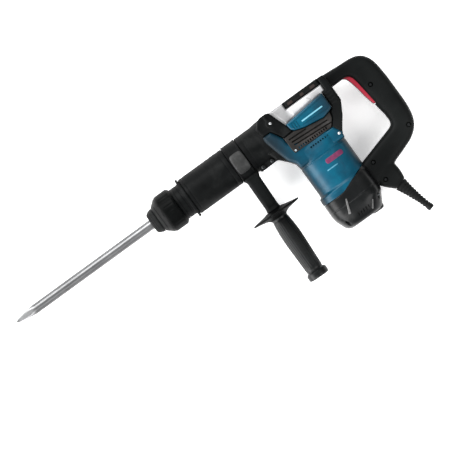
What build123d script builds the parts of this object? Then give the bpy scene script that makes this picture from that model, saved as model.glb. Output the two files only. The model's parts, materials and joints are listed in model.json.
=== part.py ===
from build123d import *
import math
import os

# Electric demolition hammer, lying on its right side.
# Millimetres, +Z up. X runs along the barrel towards the rear grip, Y towards the top of the tool.
# Side-view stations are written as (u, v): u from the point of the chisel towards the grip,
# v from the barrel axis towards the motor. The row origin is the centre of the footprint.

# ---------------------------------------------------------------- driving dimensions
TOOL_LENGTH = 772.0          # point of the chisel to the back of the grip
TOP_V = -39.0                # top of the barrel flange
LOW_V = 264.964              # end of the cable sleeve
MID = 51.5                   # height of the tool's mid-plane above the floor

CHISEL_LENGTH = 400.0
SHANK_R = 9.0
BARREL_R = 35.5
NECK_R = 32.6                # seat of the side handle's clamp band
NECK_U0, NECK_U1 = 462.0, 490.5
TUBE_RO, TUBE_RI = 23.0, 19.5
MOTOR_U = 602.5              # motor axis
MOTOR_R = 47.5
CAP_HALF = 51.5              # half width of the motor cap
MODULE = 1.0
PINION_TEETH, GEAR_TEETH = 8, 56
CRANK_U = MOTOR_U + MODULE * (PINION_TEETH + GEAR_TEETH) / 2
CRANK_THROW = 14.0
ROD_LENGTH = 64.5
WRIST_U = CRANK_U - CRANK_THROW - ROD_LENGTH
GH_HALF = 38.0               # gear housing half width
HANDLE_HALF = 19.5
GRIP_TILT = 0.0265           # forward lean of the side handle, as a slope
GRIP_U = 479.35              # side handle axis where it meets the barrel axis
CABLE_R = 4.2
TRIGGER_PIVOT = (694.0, -15.0)


def X(u):
    return u - TOOL_LENGTH / 2


def Y(v):
    return (TOP_V + LOW_V) / 2 - v


def side(*points):
    return [(X(u), Y(v)) for u, v in points]


def barrel(*points):
    return [(X(u), Y(0) + r) for u, r in points]


def motor(*points):
    return [(X(MOTOR_U) + r, Y(v)) for v, r in points]


def crank(*points):
    return [(X(CRANK_U) + r, Y(v)) for v, r in points]


MID_PLANE = Plane.XY.offset(MID)
SLEEVE_LEAN = 0.3016          # rearward slope of the cable sleeve
SLEEVE_PLANE = Plane(origin=(X(680.6), Y(197), MID), x_dir=(1, SLEEVE_LEAN, 0), z_dir=(SLEEVE_LEAN, -1, 0))
SLEEVE_AXIS = Axis((X(680.6), Y(197), MID), (SLEEVE_LEAN, -1, 0))
BARREL_AXIS = Axis((0, Y(0), MID), (1, 0, 0))
MOTOR_AXIS = Axis((X(MOTOR_U), 0, MID), (0, -1, 0))
CRANK_AXIS = Axis((X(CRANK_U), 0, MID), (0, -1, 0))
GRIP_PLANE = Plane(origin=(X(GRIP_U), Y(0), MID), x_dir=(1, -GRIP_TILT, 0), z_dir=(0, 0, 1))
GRIP_AXIS = Axis((X(GRIP_U), Y(0), MID), (-GRIP_TILT, -1, 0))


def across_barrel(u):
    return Plane(origin=(X(u), Y(0), MID), x_dir=(0, 1, 0), z_dir=(1, 0, 0))


def across_motor(v, u=MOTOR_U):
    return Plane(origin=(X(u), Y(v), MID), x_dir=(1, 0, 0), z_dir=(0, -1, 0))


def across_grip(s):
    n = Vector(-GRIP_TILT, -1, 0).normalized()
    return Plane(origin=Vector(X(GRIP_U), Y(0), MID) + n * s, x_dir=(1, -GRIP_TILT, 0), z_dir=n)


def sleeve_point(t, r):
    n = math.hypot(SLEEVE_LEAN, 1)
    return X(680.6) + (SLEEVE_LEAN * t + r) / n, Y(197) + (r * SLEEVE_LEAN - t) / n


def gear_outline(teeth, addendum, dedendum, thin, phase, steps):
    """Corner points of an involute spur gear, its flanks as short straight runs."""
    pressure = math.radians(20)
    r = MODULE * teeth / 2
    rb, ra, rf = r * math.cos(pressure), r + addendum, r - dedendum
    half = (math.pi * MODULE / 2 - thin) / 2 / r
    inv = math.tan(pressure) - pressure
    start = max(rb, rf)
    flank = [start + (ra - start) * i / (steps - 1) for i in range(steps)]
    angles = []
    for q in flank:
        a = math.acos(min(1.0, rb / q))
        angles.append(half + inv - (math.tan(a) - a))
    if rf < rb:
        flank, angles = [rf] + flank, [angles[0]] + angles
    points = []
    for t in range(teeth):
        c = 2 * math.pi * t / teeth + math.radians(phase)
        for q, a in zip(flank, angles):
            points.append((q * math.cos(c - a), q * math.sin(c - a)))
        for q, a in zip(reversed(flank), reversed(angles)):
            points.append((q * math.cos(c + a), q * math.sin(c + a)))
    return points


# ================================================================ tool and tool holder
with BuildPart() as point:
    with BuildSketch(MID_PLANE):
        with BuildLine():
            Polyline(*side((40, 9.2), (31, 8.9), (20, 7.7), (10, 6.0), (3, 3.9), (0, 1.6),
                           (0, -1.6), (3, -3.9), (10, -6.0), (20, -7.7), (31, -8.9), (40, -9.2)), close=True)
        make_face()
    extrude(amount=10, both=True)
    with BuildSketch(Plane(origin=(0, Y(0), MID), x_dir=(1, 0, 0), z_dir=(0, -1, 0))):
        with BuildLine():
            Polyline(*[(X(u), w) for u, w in [(40, 9.2), (31, 8.9), (20, 7.7), (10, 6.0), (3, 3.9), (0, 1.6),
                                              (0, -1.6), (3, -3.9), (10, -6.0), (20, -7.7), (31, -8.9), (40, -9.2)]], close=True)
        make_face()
    extrude(amount=10, both=True, mode=Mode.INTERSECT)
    with BuildSketch(across_barrel(0)):
        Circle(SHANK_R)
    extrude(amount=40, mode=Mode.INTERSECT)

with BuildPart() as chisel:
    with BuildSketch(across_barrel(40)):
        Circle(SHANK_R)
    extrude(amount=CHISEL_LENGTH - 40)
    chamfer(chisel.faces().sort_by(Axis.X)[-1].edges(), 1.2)
    add(point.part)
    # the shank's two closed locking pockets and two open drive slots
    with BuildSketch(MID_PLANE.offset(6.3)):
        with Locations(side((325.2, 0))[0]):
            RectangleRounded(21.5, 6.4, 1)
    extrude(amount=4, mode=Mode.SUBTRACT)
    with BuildSketch(MID_PLANE.offset(-6.3)):
        with Locations(side((325.2, 0))[0]):
            RectangleRounded(21.5, 6.4, 1)
    extrude(amount=-4, mode=Mode.SUBTRACT)
    with BuildSketch(across_barrel(318)):
        with Locations((9, 0), (-9, 0)):
            Rectangle(6, 5)
    extrude(amount=90, mode=Mode.SUBTRACT)

with BuildPart() as tool_holder:
    with BuildSketch(MID_PLANE):
        with BuildLine():
            Polyline(*barrel((294.2, 9.06), (294.2, 13.2), (295.2, 14.0), (304, 14.0), (304, 17), (352, 17), (352, 24),
                             (362, 24), (362, 19.95), (446, 19.95), (446, 13.02), (414, 13.02), (410, 9.06)), close=True)
        make_face()
    revolve(axis=BARREL_AXIS)
    # windows for the locking segments
    with BuildSketch(across_barrel(326.3)):
        Rectangle(6.4, 40)
    extrude(amount=7.4, mode=Mode.SUBTRACT)

with BuildPart() as locking_segment_upper:
    with BuildSketch(across_barrel(326.5)):
        with Locations((0, 11.8)):
            Rectangle(5.8, 10.2)
    extrude(amount=7)

with BuildPart() as locking_segment_lower:
    with BuildSketch(across_barrel(326.5)):
        with Locations((0, -11.8)):
            Rectangle(5.8, 10.2)
    extrude(amount=7)

with BuildPart() as dust_cap:
    with BuildSketch(MID_PLANE):
        with BuildLine():
            Polyline(*barrel((289.5, 9.4), (289.5, 15.0), (290.6, 18.2), (293.5, 20.9), (297.5, 22.7), (301.6, 23.4),
                             (301.6, 14.05), (294.1, 14.05), (294.1, 9.4)), close=True)
        make_face()
    revolve(axis=BARREL_AXIS)

with BuildPart() as locking_sleeve:
    with BuildSketch(MID_PLANE):
        with BuildLine():
            Polyline(*barrel((303.6, 17.3), (303.6, 23.4), (304.8, 24.8), (316.2, 34.2), (318.5, 35.4), (321, 35.8),
                             (341.5, 36.0), (343.5, 35.3), (347.3, 32.4), (347.3, 31.0), (338, 31.0), (338, 26.0),
                             (336, 26.0), (336, 17.35), (333.7, 17.35), (325.7, 21.1), (317.4, 21.1), (317.4, 17.3)), close=True)
        make_face()
    revolve(axis=BARREL_AXIS)
    # finger grooves round the rear half
    with BuildSketch(across_barrel(324)):
        with PolarLocations(36.6, 24):
            Circle(1.5)
    extrude(amount=12, mode=Mode.SUBTRACT)

with BuildPart() as sleeve_spring:
    with BuildLine():
        coil = Helix(pitch=3.2, height=13.2, radius=20.6, center=(X(337.4), Y(0), MID), direction=(1, 0, 0))
    with BuildSketch(Plane(origin=coil @ 0, z_dir=coil % 0)):
        Circle(0.8)
    sweep(path=coil, is_frenet=True)

with BuildPart() as front_ring:
    with BuildSketch(MID_PLANE):
        with BuildLine():
            Polyline(*barrel((346.7, 24.4), (346.7, 29.8), (347.4, 30.5), (364.6, 30.5), (365.2, 31.2), (365.2, 37.6),
                             (366.2, 38.6), (368.6, 38.6), (369.8, 37.4), (369.8, 24.4)), close=True)
        make_face()
    revolve(axis=BARREL_AXIS)

# ================================================================ hammer mechanism
with BuildPart() as impact_bolt:
    with BuildSketch(MID_PLANE):
        with BuildLine():
            Polyline(*barrel((400.4, 0), (400.4, 7.6), (401.4, 8.6), (418, 8.6), (420.5, 12.94), (436, 12.94), (438, 8.9),
                             (461, 8.9), (462, 7.9), (462, 0)), close=True)
        make_face()
    revolve(axis=BARREL_AXIS)

with BuildPart() as damping_ring:
    with BuildSketch(MID_PLANE):
        with BuildLine():
            Polyline(*barrel((446.1, 13.6), (446.1, 19.9), (452, 19.9), (452, 13.6)), close=True)
        make_face()
    revolve(axis=BARREL_AXIS)

with BuildPart() as bolt_guide:
    with BuildSketch(MID_PLANE):
        with BuildLine():
            Polyline(*barrel((452.1, 8.96), (452.1, 19.9), (461.8, 19.9), (461.8, 8.96)), close=True)
        make_face()
    revolve(axis=BARREL_AXIS)

with BuildPart() as cylinder_tube:
    with BuildSketch(MID_PLANE):
        with BuildLine():
            Polyline(*barrel((462.2, TUBE_RI), (462.2, TUBE_RO - 1), (463.2, TUBE_RO), (596.4, TUBE_RO), (596.4, TUBE_RI)), close=True)
        make_face()
    revolve(axis=BARREL_AXIS)
    # vent holes of the idle position
    with Locations(*[Location((X(512), Y(0), MID), (a, 0, 0)) for a in (0, 90)]):
        Cylinder(2, 80, mode=Mode.SUBTRACT)

with BuildPart() as ram:
    with BuildSketch(MID_PLANE):
        with BuildLine():
            Polyline(*barrel((462.4, 0), (462.4, 11), (464, 12.5), (468.8, 12.5), (470.8, TUBE_RI - 0.08), (487, TUBE_RI - 0.08),
                             (487, 17.2), (491, 17.2), (491, TUBE_RI - 0.08), (504, TUBE_RI - 0.08), (504, 0)), close=True)
        make_face()
    revolve(axis=BARREL_AXIS)

with BuildPart() as ram_o_ring:
    with BuildSketch(MID_PLANE):
        with Locations(barrel((489, 18.3))[0]):
            Circle(1.05)
    revolve(axis=BARREL_AXIS)

with BuildPart() as piston:
    with BuildSketch(MID_PLANE):
        with BuildLine():
            Polyline(*barrel((532, 0), (532, TUBE_RI - 0.08), (536, TUBE_RI - 0.08), (536, 17.2), (540, 17.2), (540, TUBE_RI - 0.08),
                             (569, TUBE_RI - 0.08), (569, 14), (544, 14), (544, 0)), close=True)
        make_face()
    revolve(axis=BARREL_AXIS)
    with BuildSketch(across_motor(-25, WRIST_U)):
        Circle(5.02)
    extrude(amount=50, mode=Mode.SUBTRACT)

with BuildPart() as piston_o_ring:
    with BuildSketch(MID_PLANE):
        with Locations(barrel((538, 18.3))[0]):
            Circle(1.05)
    revolve(axis=BARREL_AXIS)

with BuildPart() as wrist_pin:
    with BuildSketch(across_motor(-17.5, WRIST_U)):
        Circle(5.0)
    extrude(amount=35)

with BuildPart() as con_rod:
    with BuildSketch(across_motor(-6, WRIST_U)):
        Circle(8.5)
        with Locations((ROD_LENGTH, 0)):
            Circle(13)
        with Locations((ROD_LENGTH / 2, 0)):
            Rectangle(ROD_LENGTH - 8, 11)
    extrude(amount=12)
    with BuildSketch(across_motor(-6, WRIST_U)):
        Circle(5.04)
        with Locations((ROD_LENGTH, 0)):
            Circle(10)
    extrude(amount=12, mode=Mode.SUBTRACT)
    with BuildSketch(across_motor(-6, WRIST_U)):
        with Locations((ROD_LENGTH / 2 - 2, 0)):
            SlotOverall(32, 5)
    extrude(amount=3, mode=Mode.SUBTRACT)

with BuildPart() as con_rod_bearing:
    with BuildSketch(across_motor(-6, CRANK_U - CRANK_THROW)):
        Circle(10)
        Circle(8.03, mode=Mode.SUBTRACT)
    extrude(amount=12)

with BuildPart() as crankshaft:
    with BuildSketch(MID_PLANE):
        with BuildLine():
            Polyline(*crank((8, 0), (8, 24), (17, 24), (17, 12), (31.6, 12), (31.6, 10), (45.4, 10), (45.4, 6), (57, 6), (57, 0)), close=True)
        make_face()
    revolve(axis=CRANK_AXIS)
    with BuildSketch(across_motor(-8, CRANK_U - CRANK_THROW)):
        Circle(8)
    extrude(amount=17)
    # the web is cut away opposite the pin's counterweight
    with BuildSketch(across_motor(8, CRANK_U)):
        with Locations((-2, 22), (-2, -22)):
            Rectangle(30, 10)
    extrude(amount=8.8, mode=Mode.SUBTRACT)

with BuildPart() as crank_gear:
    with BuildSketch(across_motor(18, CRANK_U)):
        with BuildLine():
            Polyline(*gear_outline(GEAR_TEETH, 0.45, 1.25, 0.17, 180 / GEAR_TEETH, 3), close=True)
        make_face()
        Circle(12.04, mode=Mode.SUBTRACT)
        with PolarLocations(19.5, 6):
            Circle(3.6, mode=Mode.SUBTRACT)
    extrude(amount=13)

with BuildPart() as crank_bearings:
    for v0, width, ri, ro in ((33.0, 12.0, 10.03, 21.0), (47.6, 8.0, 6.03, 14.0)):
        with BuildSketch(MID_PLANE):
            wall = (ro - ri) * 0.28
            with BuildLine():
                Polyline(*crank((v0, ri), (v0, ri + wall), (v0 + width, ri + wall), (v0 + width, ri)), close=True)
            make_face()
            with BuildLine():
                Polyline(*crank((v0, ro - wall), (v0, ro), (v0 + width, ro), (v0 + width, ro - wall)), close=True)
            make_face()
        revolve(axis=CRANK_AXIS)
        ball = (ro - ri) * 0.22 - 0.06
        with Locations(across_motor(v0 + width / 2, CRANK_U)):
            with PolarLocations((ri + ro) / 2, 8):
                Sphere(ball)

# ================================================================ fasteners
JOINT_SCREWS = side((505, 33.8), (524, 33.6))
with BuildPart() as barrel_screws:                              # two each side of the pad under the barrel
    for sign in (1, -1):
        with BuildSketch(MID_PLANE.offset(sign * 20)):
            with Locations(*JOINT_SCREWS):
                Circle(3.9)
        extrude(amount=sign * 3.2)
        with BuildSketch(MID_PLANE.offset(sign * 20)):
            with Locations(*JOINT_SCREWS):
                Circle(2.2)
        extrude(amount=-sign * 6)
        with BuildSketch(MID_PLANE.offset(sign * 23.2)):
            with Locations(*JOINT_SCREWS):
                RegularPolygon(2.2, 6)
        extrude(amount=-sign * 2, mode=Mode.SUBTRACT)

FLANGE_SCREWS = side((557.5, -20))
with BuildPart() as flange_screws:                              # barrel housing to gear housing
    for sign in (1, -1):
        with BuildSketch(MID_PLANE.offset(sign * 42)):
            with Locations(*FLANGE_SCREWS):
                Circle(4.6)
        extrude(amount=sign * 3.0)
        with BuildSketch(MID_PLANE.offset(sign * 42)):
            with Locations(*FLANGE_SCREWS):
                Circle(2.5)
        extrude(amount=-sign * 8)
        with BuildSketch(MID_PLANE.offset(sign * 45)):
            with Locations(*FLANGE_SCREWS):
                RegularPolygon(2.5, 6)
        extrude(amount=-sign * 2, mode=Mode.SUBTRACT)

REAR_SCREWS = side((646.2, 63.6))
with BuildPart() as rear_screws:                                # rear bumper to motor housing
    for sign in (1, -1):
        with BuildSketch(MID_PLANE.offset(sign * 44)):
            with Locations(*REAR_SCREWS):
                Circle(3.6)
        extrude(amount=sign * 2.4)
        with BuildSketch(MID_PLANE.offset(sign * 44)):
            with Locations(*REAR_SCREWS):
                Circle(1.9)
        extrude(amount=-sign * 10)
        with BuildSketch(MID_PLANE.offset(sign * 46.4)):
            with Locations(*REAR_SCREWS):
                RegularPolygon(1.9, 6)
        extrude(amount=-sign * 1.6, mode=Mode.SUBTRACT)

GRILLE_SCREWS = side((568.4, 41.4))
with BuildPart() as grille_screws:
    for sign in (1, -1):
        with BuildSketch(MID_PLANE.offset(sign * (GH_HALF + 7.65))):
            with Locations(*GRILLE_SCREWS):
                Circle(2.9)
        extrude(amount=sign * 1.2)
        with BuildSketch(MID_PLANE.offset(sign * (GH_HALF + 7.65))):
            with Locations(*GRILLE_SCREWS):
                Circle(1.6)
        extrude(amount=-sign * 13)
        with BuildSketch(MID_PLANE.offset(sign * (GH_HALF + 8.85))):
            with Locations(*GRILLE_SCREWS):
                RegularPolygon(1.5, 6)
        extrude(amount=-sign * 1.0, mode=Mode.SUBTRACT)

with BuildPart() as top_cover_screws:
    with BuildSketch(across_motor(-36.7, 0)):
        with Locations((602, 0), (660, 0)):
            Circle(3.4)
    extrude(amount=3)
    with BuildSketch(across_motor(-34, 0)):
        with Locations((602, 0), (660, 0)):
            Circle(1.9)
    extrude(amount=18)
    with BuildSketch(across_motor(-36.7, 0)):
        with Locations((602, 0), (660, 0)):
            RegularPolygon(1.8, 6)
    extrude(amount=1.8, mode=Mode.SUBTRACT)

CAP_SCREWS = [(a, b) for a in (35.9, -35.9) for b in (35.9, -35.9)]
with BuildPart() as cap_screws:                                 # long screws at the cap's corners
    with BuildSketch(across_motor(186)):
        with Locations(*CAP_SCREWS):
            Circle(4.1)
    extrude(amount=4)
    with BuildSketch(across_motor(140)):
        with Locations(*CAP_SCREWS):
            Circle(2.3)
    extrude(amount=47)
    with BuildSketch(across_motor(190)):
        with Locations(*CAP_SCREWS):
            RegularPolygon(2.3, 6)
    extrude(amount=-2.4, mode=Mode.SUBTRACT)

# ================================================================ barrel housing and gear housing
GH_SIDE = side((561, -36.5), (594.6, -36.5), (594.6, -24), (668.8, -24), (668.8, 26), (660, 46.8), (561, 46.8))

with BuildPart() as gear_block:
    with BuildSketch(MID_PLANE):
        with BuildLine():
            Polyline(*GH_SIDE, close=True)
        make_face()
    extrude(amount=GH_HALF, both=True)
    top = gear_block.edges().filter_by(Axis.X).group_by(Axis.Y)[-1]
    fillet(top, 12)

with BuildPart() as gear_housing:
    add(gear_block.part)
    with BuildSketch(across_barrel(560)):                       # seat of the cylinder tube
        Circle(TUBE_RO + 0.05)
    extrude(amount=50, mode=Mode.SUBTRACT)
    with BuildSketch(across_motor(-24.5, CRANK_U)):             # crank space
        Circle(31)
        with Locations((-16, 0)):
            Rectangle(32, 40)
    extrude(amount=42, mode=Mode.SUBTRACT)
    with BuildSketch(across_motor(17, CRANK_U)):                # gear space
        Circle(31)
        with Locations((MOTOR_U - CRANK_U, 0)):
            Circle(8)
    extrude(amount=15.2, mode=Mode.SUBTRACT)
    with BuildSketch(across_motor(32, CRANK_U)):                # bearing seat and pinion way
        Circle(21.02)
    extrude(amount=15, mode=Mode.SUBTRACT)
    with BuildSketch(across_motor(16, MOTOR_U)):
        Circle(8)
    extrude(amount=31, mode=Mode.SUBTRACT)
    add(top_cover_screws.part, mode=Mode.SUBTRACT)
    add(grille_screws.part, mode=Mode.SUBTRACT)

with BuildPart() as barrel_housing:
    with BuildSketch(MID_PLANE):
        with BuildLine():
            Polyline(*barrel((370, 20.0), (370, 34.3), (371.2, BARREL_R), (NECK_U0 - 1, BARREL_R), (NECK_U0, BARREL_R - 1), (NECK_U0, NECK_R),
                             (NECK_U1, NECK_R), (NECK_U1, 35), (NECK_U1 + 1, 36), (526, 36), (536, 37.4), (548, 38.2), (561, 38.2),
                             (561, TUBE_RO + 0.05), (553, TUBE_RO + 0.05), (553, 30.5), (494, 30.5), (494, TUBE_RO + 0.05),
                             (462, TUBE_RO + 0.05), (462, 20.0), (440, 20.0), (440, 30.5), (378, 30.5), (378, 20.0)), close=True)
        make_face()
    revolve(axis=BARREL_AXIS)
    with BuildSketch(MID_PLANE):                                # rear flange that laps the gear housing
        with BuildLine():
            Polyline(*side((532, -26), (545, -38.2), (551, -39), (560, -39), (566, -37.2), (578.5, -1.5), (583, 13.6), (562, 14.6), (555.6, 2),
                           (549.6, -8.2), (534, -8.2)), close=True)
        make_face()
    extrude(amount=42, both=True)
    with BuildSketch(MID_PLANE):                                # pad under the barrel for the joint screws
        with BuildLine():
            Polyline(*side((497.5, 20), (497.5, 38.4), (500, 39.4), (531, 38.6), (531, 20)), close=True)
        make_face()
    extrude(amount=20, both=True)
    with BuildSketch(across_barrel(494)):
        Circle(30.5)
    extrude(amount=59, mode=Mode.SUBTRACT)
    with BuildSketch(across_barrel(550)):
        Circle(TUBE_RO + 0.05)
    extrude(amount=40, mode=Mode.SUBTRACT)
    add(gear_block.part, mode=Mode.SUBTRACT)
    flange_edges = [e for e in barrel_housing.edges().filter_by(GeomType.LINE)
                    if abs(abs(e.center().Z - MID) - 42) < 0.01]
    fillet(flange_edges, 3)
    add(barrel_screws.part, mode=Mode.SUBTRACT)
    add(flange_screws.part, mode=Mode.SUBTRACT)

with BuildPart() as top_cover:
    with BuildSketch(MID_PLANE):
        with BuildLine():
            Polyline(*side((594.8, -36.7), (668.8, -36.7), (668.8, -24.1), (594.8, -24.1)), close=True)
        make_face()
    extrude(amount=37, both=True)
    fillet(top_cover.edges().filter_by(Axis.X).group_by(Axis.Y)[-1], 10)
    with BuildSketch(Plane.XZ.offset(-Y(-38))):                 # cooling grooves across the top
        with GridLocations(11, 0, 5, 1):
            with Locations((X(631), MID)):
                Rectangle(4, 52)
    extrude(amount=3.5, mode=Mode.SUBTRACT)
    with BuildSketch(across_motor(-38, 0)):
        with Locations((602, 0), (660, 0)):
            Circle(3.45)
    extrude(amount=3.6, mode=Mode.SUBTRACT)
    add(top_cover_screws.part, mode=Mode.SUBTRACT)

# ================================================================ motor housing and its trims
MH_TOP = side((533, 38.8), (527, 22), (523.6, 2), (527.5, -8), (549.4, -8), (555.4, 2.2), (561.8, 15), (561.8, 46.9),
              (640, 46.9), (646, 60), (650, 66), (650, 73), (555.5, 73), (553.4, 62.5), (543, 50.5))

with BuildPart() as motor_housing:
    with BuildSketch(MID_PLANE):
        with BuildLine():
            Polyline(*motor((64, 0), (64, 48.6), (77, 48.6), (77.6, 47.0), (128, MOTOR_R), (136.6, MOTOR_R), (136.6, 0)), close=True)
        make_face()
    revolve(axis=MOTOR_AXIS)
    with BuildSketch(MID_PLANE):
        with BuildLine():
            Polyline(*MH_TOP, close=True)
        make_face()
    extrude(amount=44, both=True)
    with BuildSketch(across_motor(136.6)):                      # collar over the cap
        RectangleRounded(2 * CAP_HALF - 1, 2 * CAP_HALF - 1, 40)
    extrude(amount=14.4)
    with BuildSketch(across_motor(62)):                         # motor bore
        Circle(43.2)
    extrude(amount=90, mode=Mode.SUBTRACT)
    with BuildSketch(across_motor(46.8)):                       # seat of the bearing plate
        with Locations((2.5, 0)):
            RectangleRounded(90, 80, 8)
    extrude(amount=15.3, mode=Mode.SUBTRACT)
    with BuildSketch(across_barrel(515)):                       # saddle round the barrel housing
        Circle(38.3)
    extrude(amount=46.2, mode=Mode.SUBTRACT)
    with BuildSketch(MID_PLANE):                                # flat rear side, where the handle meets it
        with BuildLine():
            Polyline(*side((649.2, 118), (670, 118), (670, 155), (649.2, 155)), close=True)
        make_face()
    extrude(amount=60, both=True, mode=Mode.SUBTRACT)
    add(barrel_housing.part, mode=Mode.SUBTRACT)
    add(gear_block.part, mode=Mode.SUBTRACT)
    add(cap_screws.part, mode=Mode.SUBTRACT)
    add(rear_screws.part, mode=Mode.SUBTRACT)

with BuildPart() as bearing_plate:
    with BuildSketch(across_motor(46.9)):
        with Locations((2.5, 0)):
            RectangleRounded(89.8, 79.8, 8)
        with Locations((CRANK_U - MOTOR_U, 0)):
            Circle(10.6, mode=Mode.SUBTRACT)
        Circle(11, mode=Mode.SUBTRACT)
    extrude(amount=11)
    with BuildSketch(across_motor(47.4)):
        Circle(16.02)
        with Locations((CRANK_U - MOTOR_U, 0)):
            Circle(14.02)
    extrude(amount=12, mode=Mode.SUBTRACT)

SC_SIDE = side((579, -2.6), (660, -11.2), (661.5, 19.5), (640, 25.8), (603, 20), (585, 14.2))
VG_SIDE = side((562.2, 15.2), (584.6, 14.6), (602.6, 20.6), (640, 26.4), (653, 22.8), (650, 34), (640, 44.5), (632, 46.6), (566, 46.6), (562.2, 40))
RB_SIDE = side((661.4, -11.6), (669, -12.4), (669, -23.8), (669, -36.4), (682, -35.4), (682.4, 0), (682, 18), (676.6, 27.5), (668.4, 42),
               (659.6, 53.2), (650.4, 66.2), (646.4, 59.6), (640.4, 46.6), (651, 34.6), (654.4, 22.6), (662, 20))

with BuildPart() as side_cover_left:
    with BuildSketch(MID_PLANE.offset(GH_HALF + 0.05)):
        with BuildLine():
            Polyline(*SC_SIDE, close=True)
        make_face()
    extrude(amount=11.5)
    fillet(side_cover_left.faces().sort_by(Axis.Z)[-1].edges(), 4.5)

with BuildPart() as side_cover_right:
    with BuildSketch(MID_PLANE.offset(-GH_HALF - 0.05)):
        with BuildLine():
            Polyline(*SC_SIDE, close=True)
        make_face()
    extrude(amount=-11.5)
    fillet(side_cover_right.faces().sort_by(Axis.Z)[0].edges(), 4.5)

with BuildPart() as vent_grille_left:
    with BuildSketch(MID_PLANE.offset(GH_HALF + 0.05)):
        with BuildLine():
            Polyline(*VG_SIDE, close=True)
        make_face()
    extrude(amount=7.6)
    with BuildSketch(MID_PLANE.offset(GH_HALF + 3)):
        with Locations(*side((574, 25), (583, 25), (592, 27.5), (601, 30), (610, 32), (619, 33.5), (628, 35), (637, 36))):
            SlotOverall(12, 3.4, rotation=68)
    extrude(amount=8, mode=Mode.SUBTRACT)
    add(grille_screws.part, mode=Mode.SUBTRACT)

with BuildPart() as vent_grille_right:
    with BuildSketch(MID_PLANE.offset(-GH_HALF - 0.05)):
        with BuildLine():
            Polyline(*VG_SIDE, close=True)
        make_face()
    extrude(amount=-7.6)
    with BuildSketch(MID_PLANE.offset(-GH_HALF - 3)):
        with Locations(*side((574, 25), (583, 25), (592, 27.5), (601, 30), (610, 32), (619, 33.5), (628, 35), (637, 36))):
            SlotOverall(12, 3.4, rotation=68)
    extrude(amount=-8, mode=Mode.SUBTRACT)
    add(grille_screws.part, mode=Mode.SUBTRACT)

with BuildPart() as rear_bumper:
    with BuildSketch(MID_PLANE):
        with BuildLine():
            Polyline(*RB_SIDE, close=True)
        make_face()
    extrude(amount=43, both=True)
    add(gear_block.part, mode=Mode.SUBTRACT)
    add(motor_housing.part, mode=Mode.SUBTRACT)
    with BuildSketch(across_motor(46.8)):
        with Locations((2.5, 0)):
            RectangleRounded(90, 80, 8)
    extrude(amount=25, mode=Mode.SUBTRACT)
    with BuildSketch(MID_PLANE):                                # room for the handle's tongue
        with BuildLine():
            Polyline(*side((668.9, -36.6), (683, -36.6), (683, -8), (668.9, -8)), close=True)
        make_face()
    extrude(amount=HANDLE_HALF + 0.05, both=True, mode=Mode.SUBTRACT)
    add(rear_screws.part, mode=Mode.SUBTRACT)

with BuildPart() as motor_cap:
    with BuildSketch(across_motor(151.1)):
        RectangleRounded(2 * CAP_HALF, 2 * CAP_HALF, 40)
    extrude(amount=32.9)
    with BuildSketch(across_motor(184)):
        RectangleRounded(2 * CAP_HALF, 2 * CAP_HALF, 40)
    with BuildSketch(across_motor(203)):
        RectangleRounded(90, 92, 34)
    loft()
    with BuildSketch(across_motor(203)):
        RectangleRounded(90, 92, 34)
    with BuildSketch(across_motor(211)):
        RectangleRounded(74, 78, 28)
    loft()
    with BuildSketch(across_motor(151)):                        # hollow for the brush gear
        Circle(46)
    extrude(amount=50, mode=Mode.SUBTRACT)
    with BuildSketch(MID_PLANE):
        with BuildLine():
            Polyline(*side((649.2, 150), (670, 150), (670, 200), (649.2, 200)), close=True)
        make_face()
    extrude(amount=60, both=True, mode=Mode.SUBTRACT)
    with BuildSketch(across_motor(200)):                        # air inlet slots in the floor
        with PolarLocations(24, 12):
            SlotOverall(16, 3.2)
    extrude(amount=20, mode=Mode.SUBTRACT)
    with BuildSketch(across_motor(190)):
        with Locations(*CAP_SCREWS):
            Circle(4.5)
    extrude(amount=25, mode=Mode.SUBTRACT)
    with BuildSketch(across_motor(187.5)):
        with Locations(*CAP_SCREWS):
            Circle(2.4)
    extrude(amount=3, mode=Mode.SUBTRACT)
    add(cap_screws.part, mode=Mode.SUBTRACT)

with BuildPart() as brush_bridge:                               # carries the lower bearing and the brushes
    with BuildSketch(across_motor(172)):
        Circle(45.9)
        with PolarLocations(30, 4, start_angle=45):
            Circle(9, mode=Mode.SUBTRACT)
    extrude(amount=14)
    with BuildSketch(across_motor(171)):
        Circle(13.02)
    extrude(amount=10, mode=Mode.SUBTRACT)
    with BuildSketch(across_motor(171)):
        Circle(6)
    extrude(amount=20, mode=Mode.SUBTRACT)

# ================================================================ motor
with BuildPart() as stator_core:
    with BuildSketch(across_motor(86)):
        Circle(43.0)
        Circle(22.8, mode=Mode.SUBTRACT)
        with PolarLocations(31, 4, start_angle=45):
            RectangleRounded(11, 13, 2, mode=Mode.SUBTRACT)
    extrude(amount=46)

with BuildPart() as field_coils:
    with BuildSketch(across_motor(79)):
        with PolarLocations(31, 4, start_angle=45):
            RectangleRounded(10.6, 12.6, 2)
    extrude(amount=60)

with BuildPart() as armature_shaft:
    with BuildSketch(MID_PLANE):
        with BuildLine():
            Polyline(*motor((31.5, 0), (31.5, 5.0), (47.4, 5.0), (47.4, 6.0), (60, 6.0), (60, 7.0), (170.5, 7.0), (170.5, 4.97), (182, 4.97), (182, 0)), close=True)
        make_face()
    revolve(axis=MOTOR_AXIS)
    with BuildSketch(across_motor(17.6)):
        with BuildLine():
            Polyline(*gear_outline(PINION_TEETH, 1.0, 0.7, 0.12, 0, 5), close=True)
        make_face()
    extrude(amount=14)

with BuildPart() as armature_core:
    with BuildSketch(across_motor(86)):
        Circle(22.2)
        Circle(7.0, mode=Mode.SUBTRACT)
        with PolarLocations(20.5, 12):
            SlotOverall(7, 2.2, mode=Mode.SUBTRACT)
    extrude(amount=46)

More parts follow.
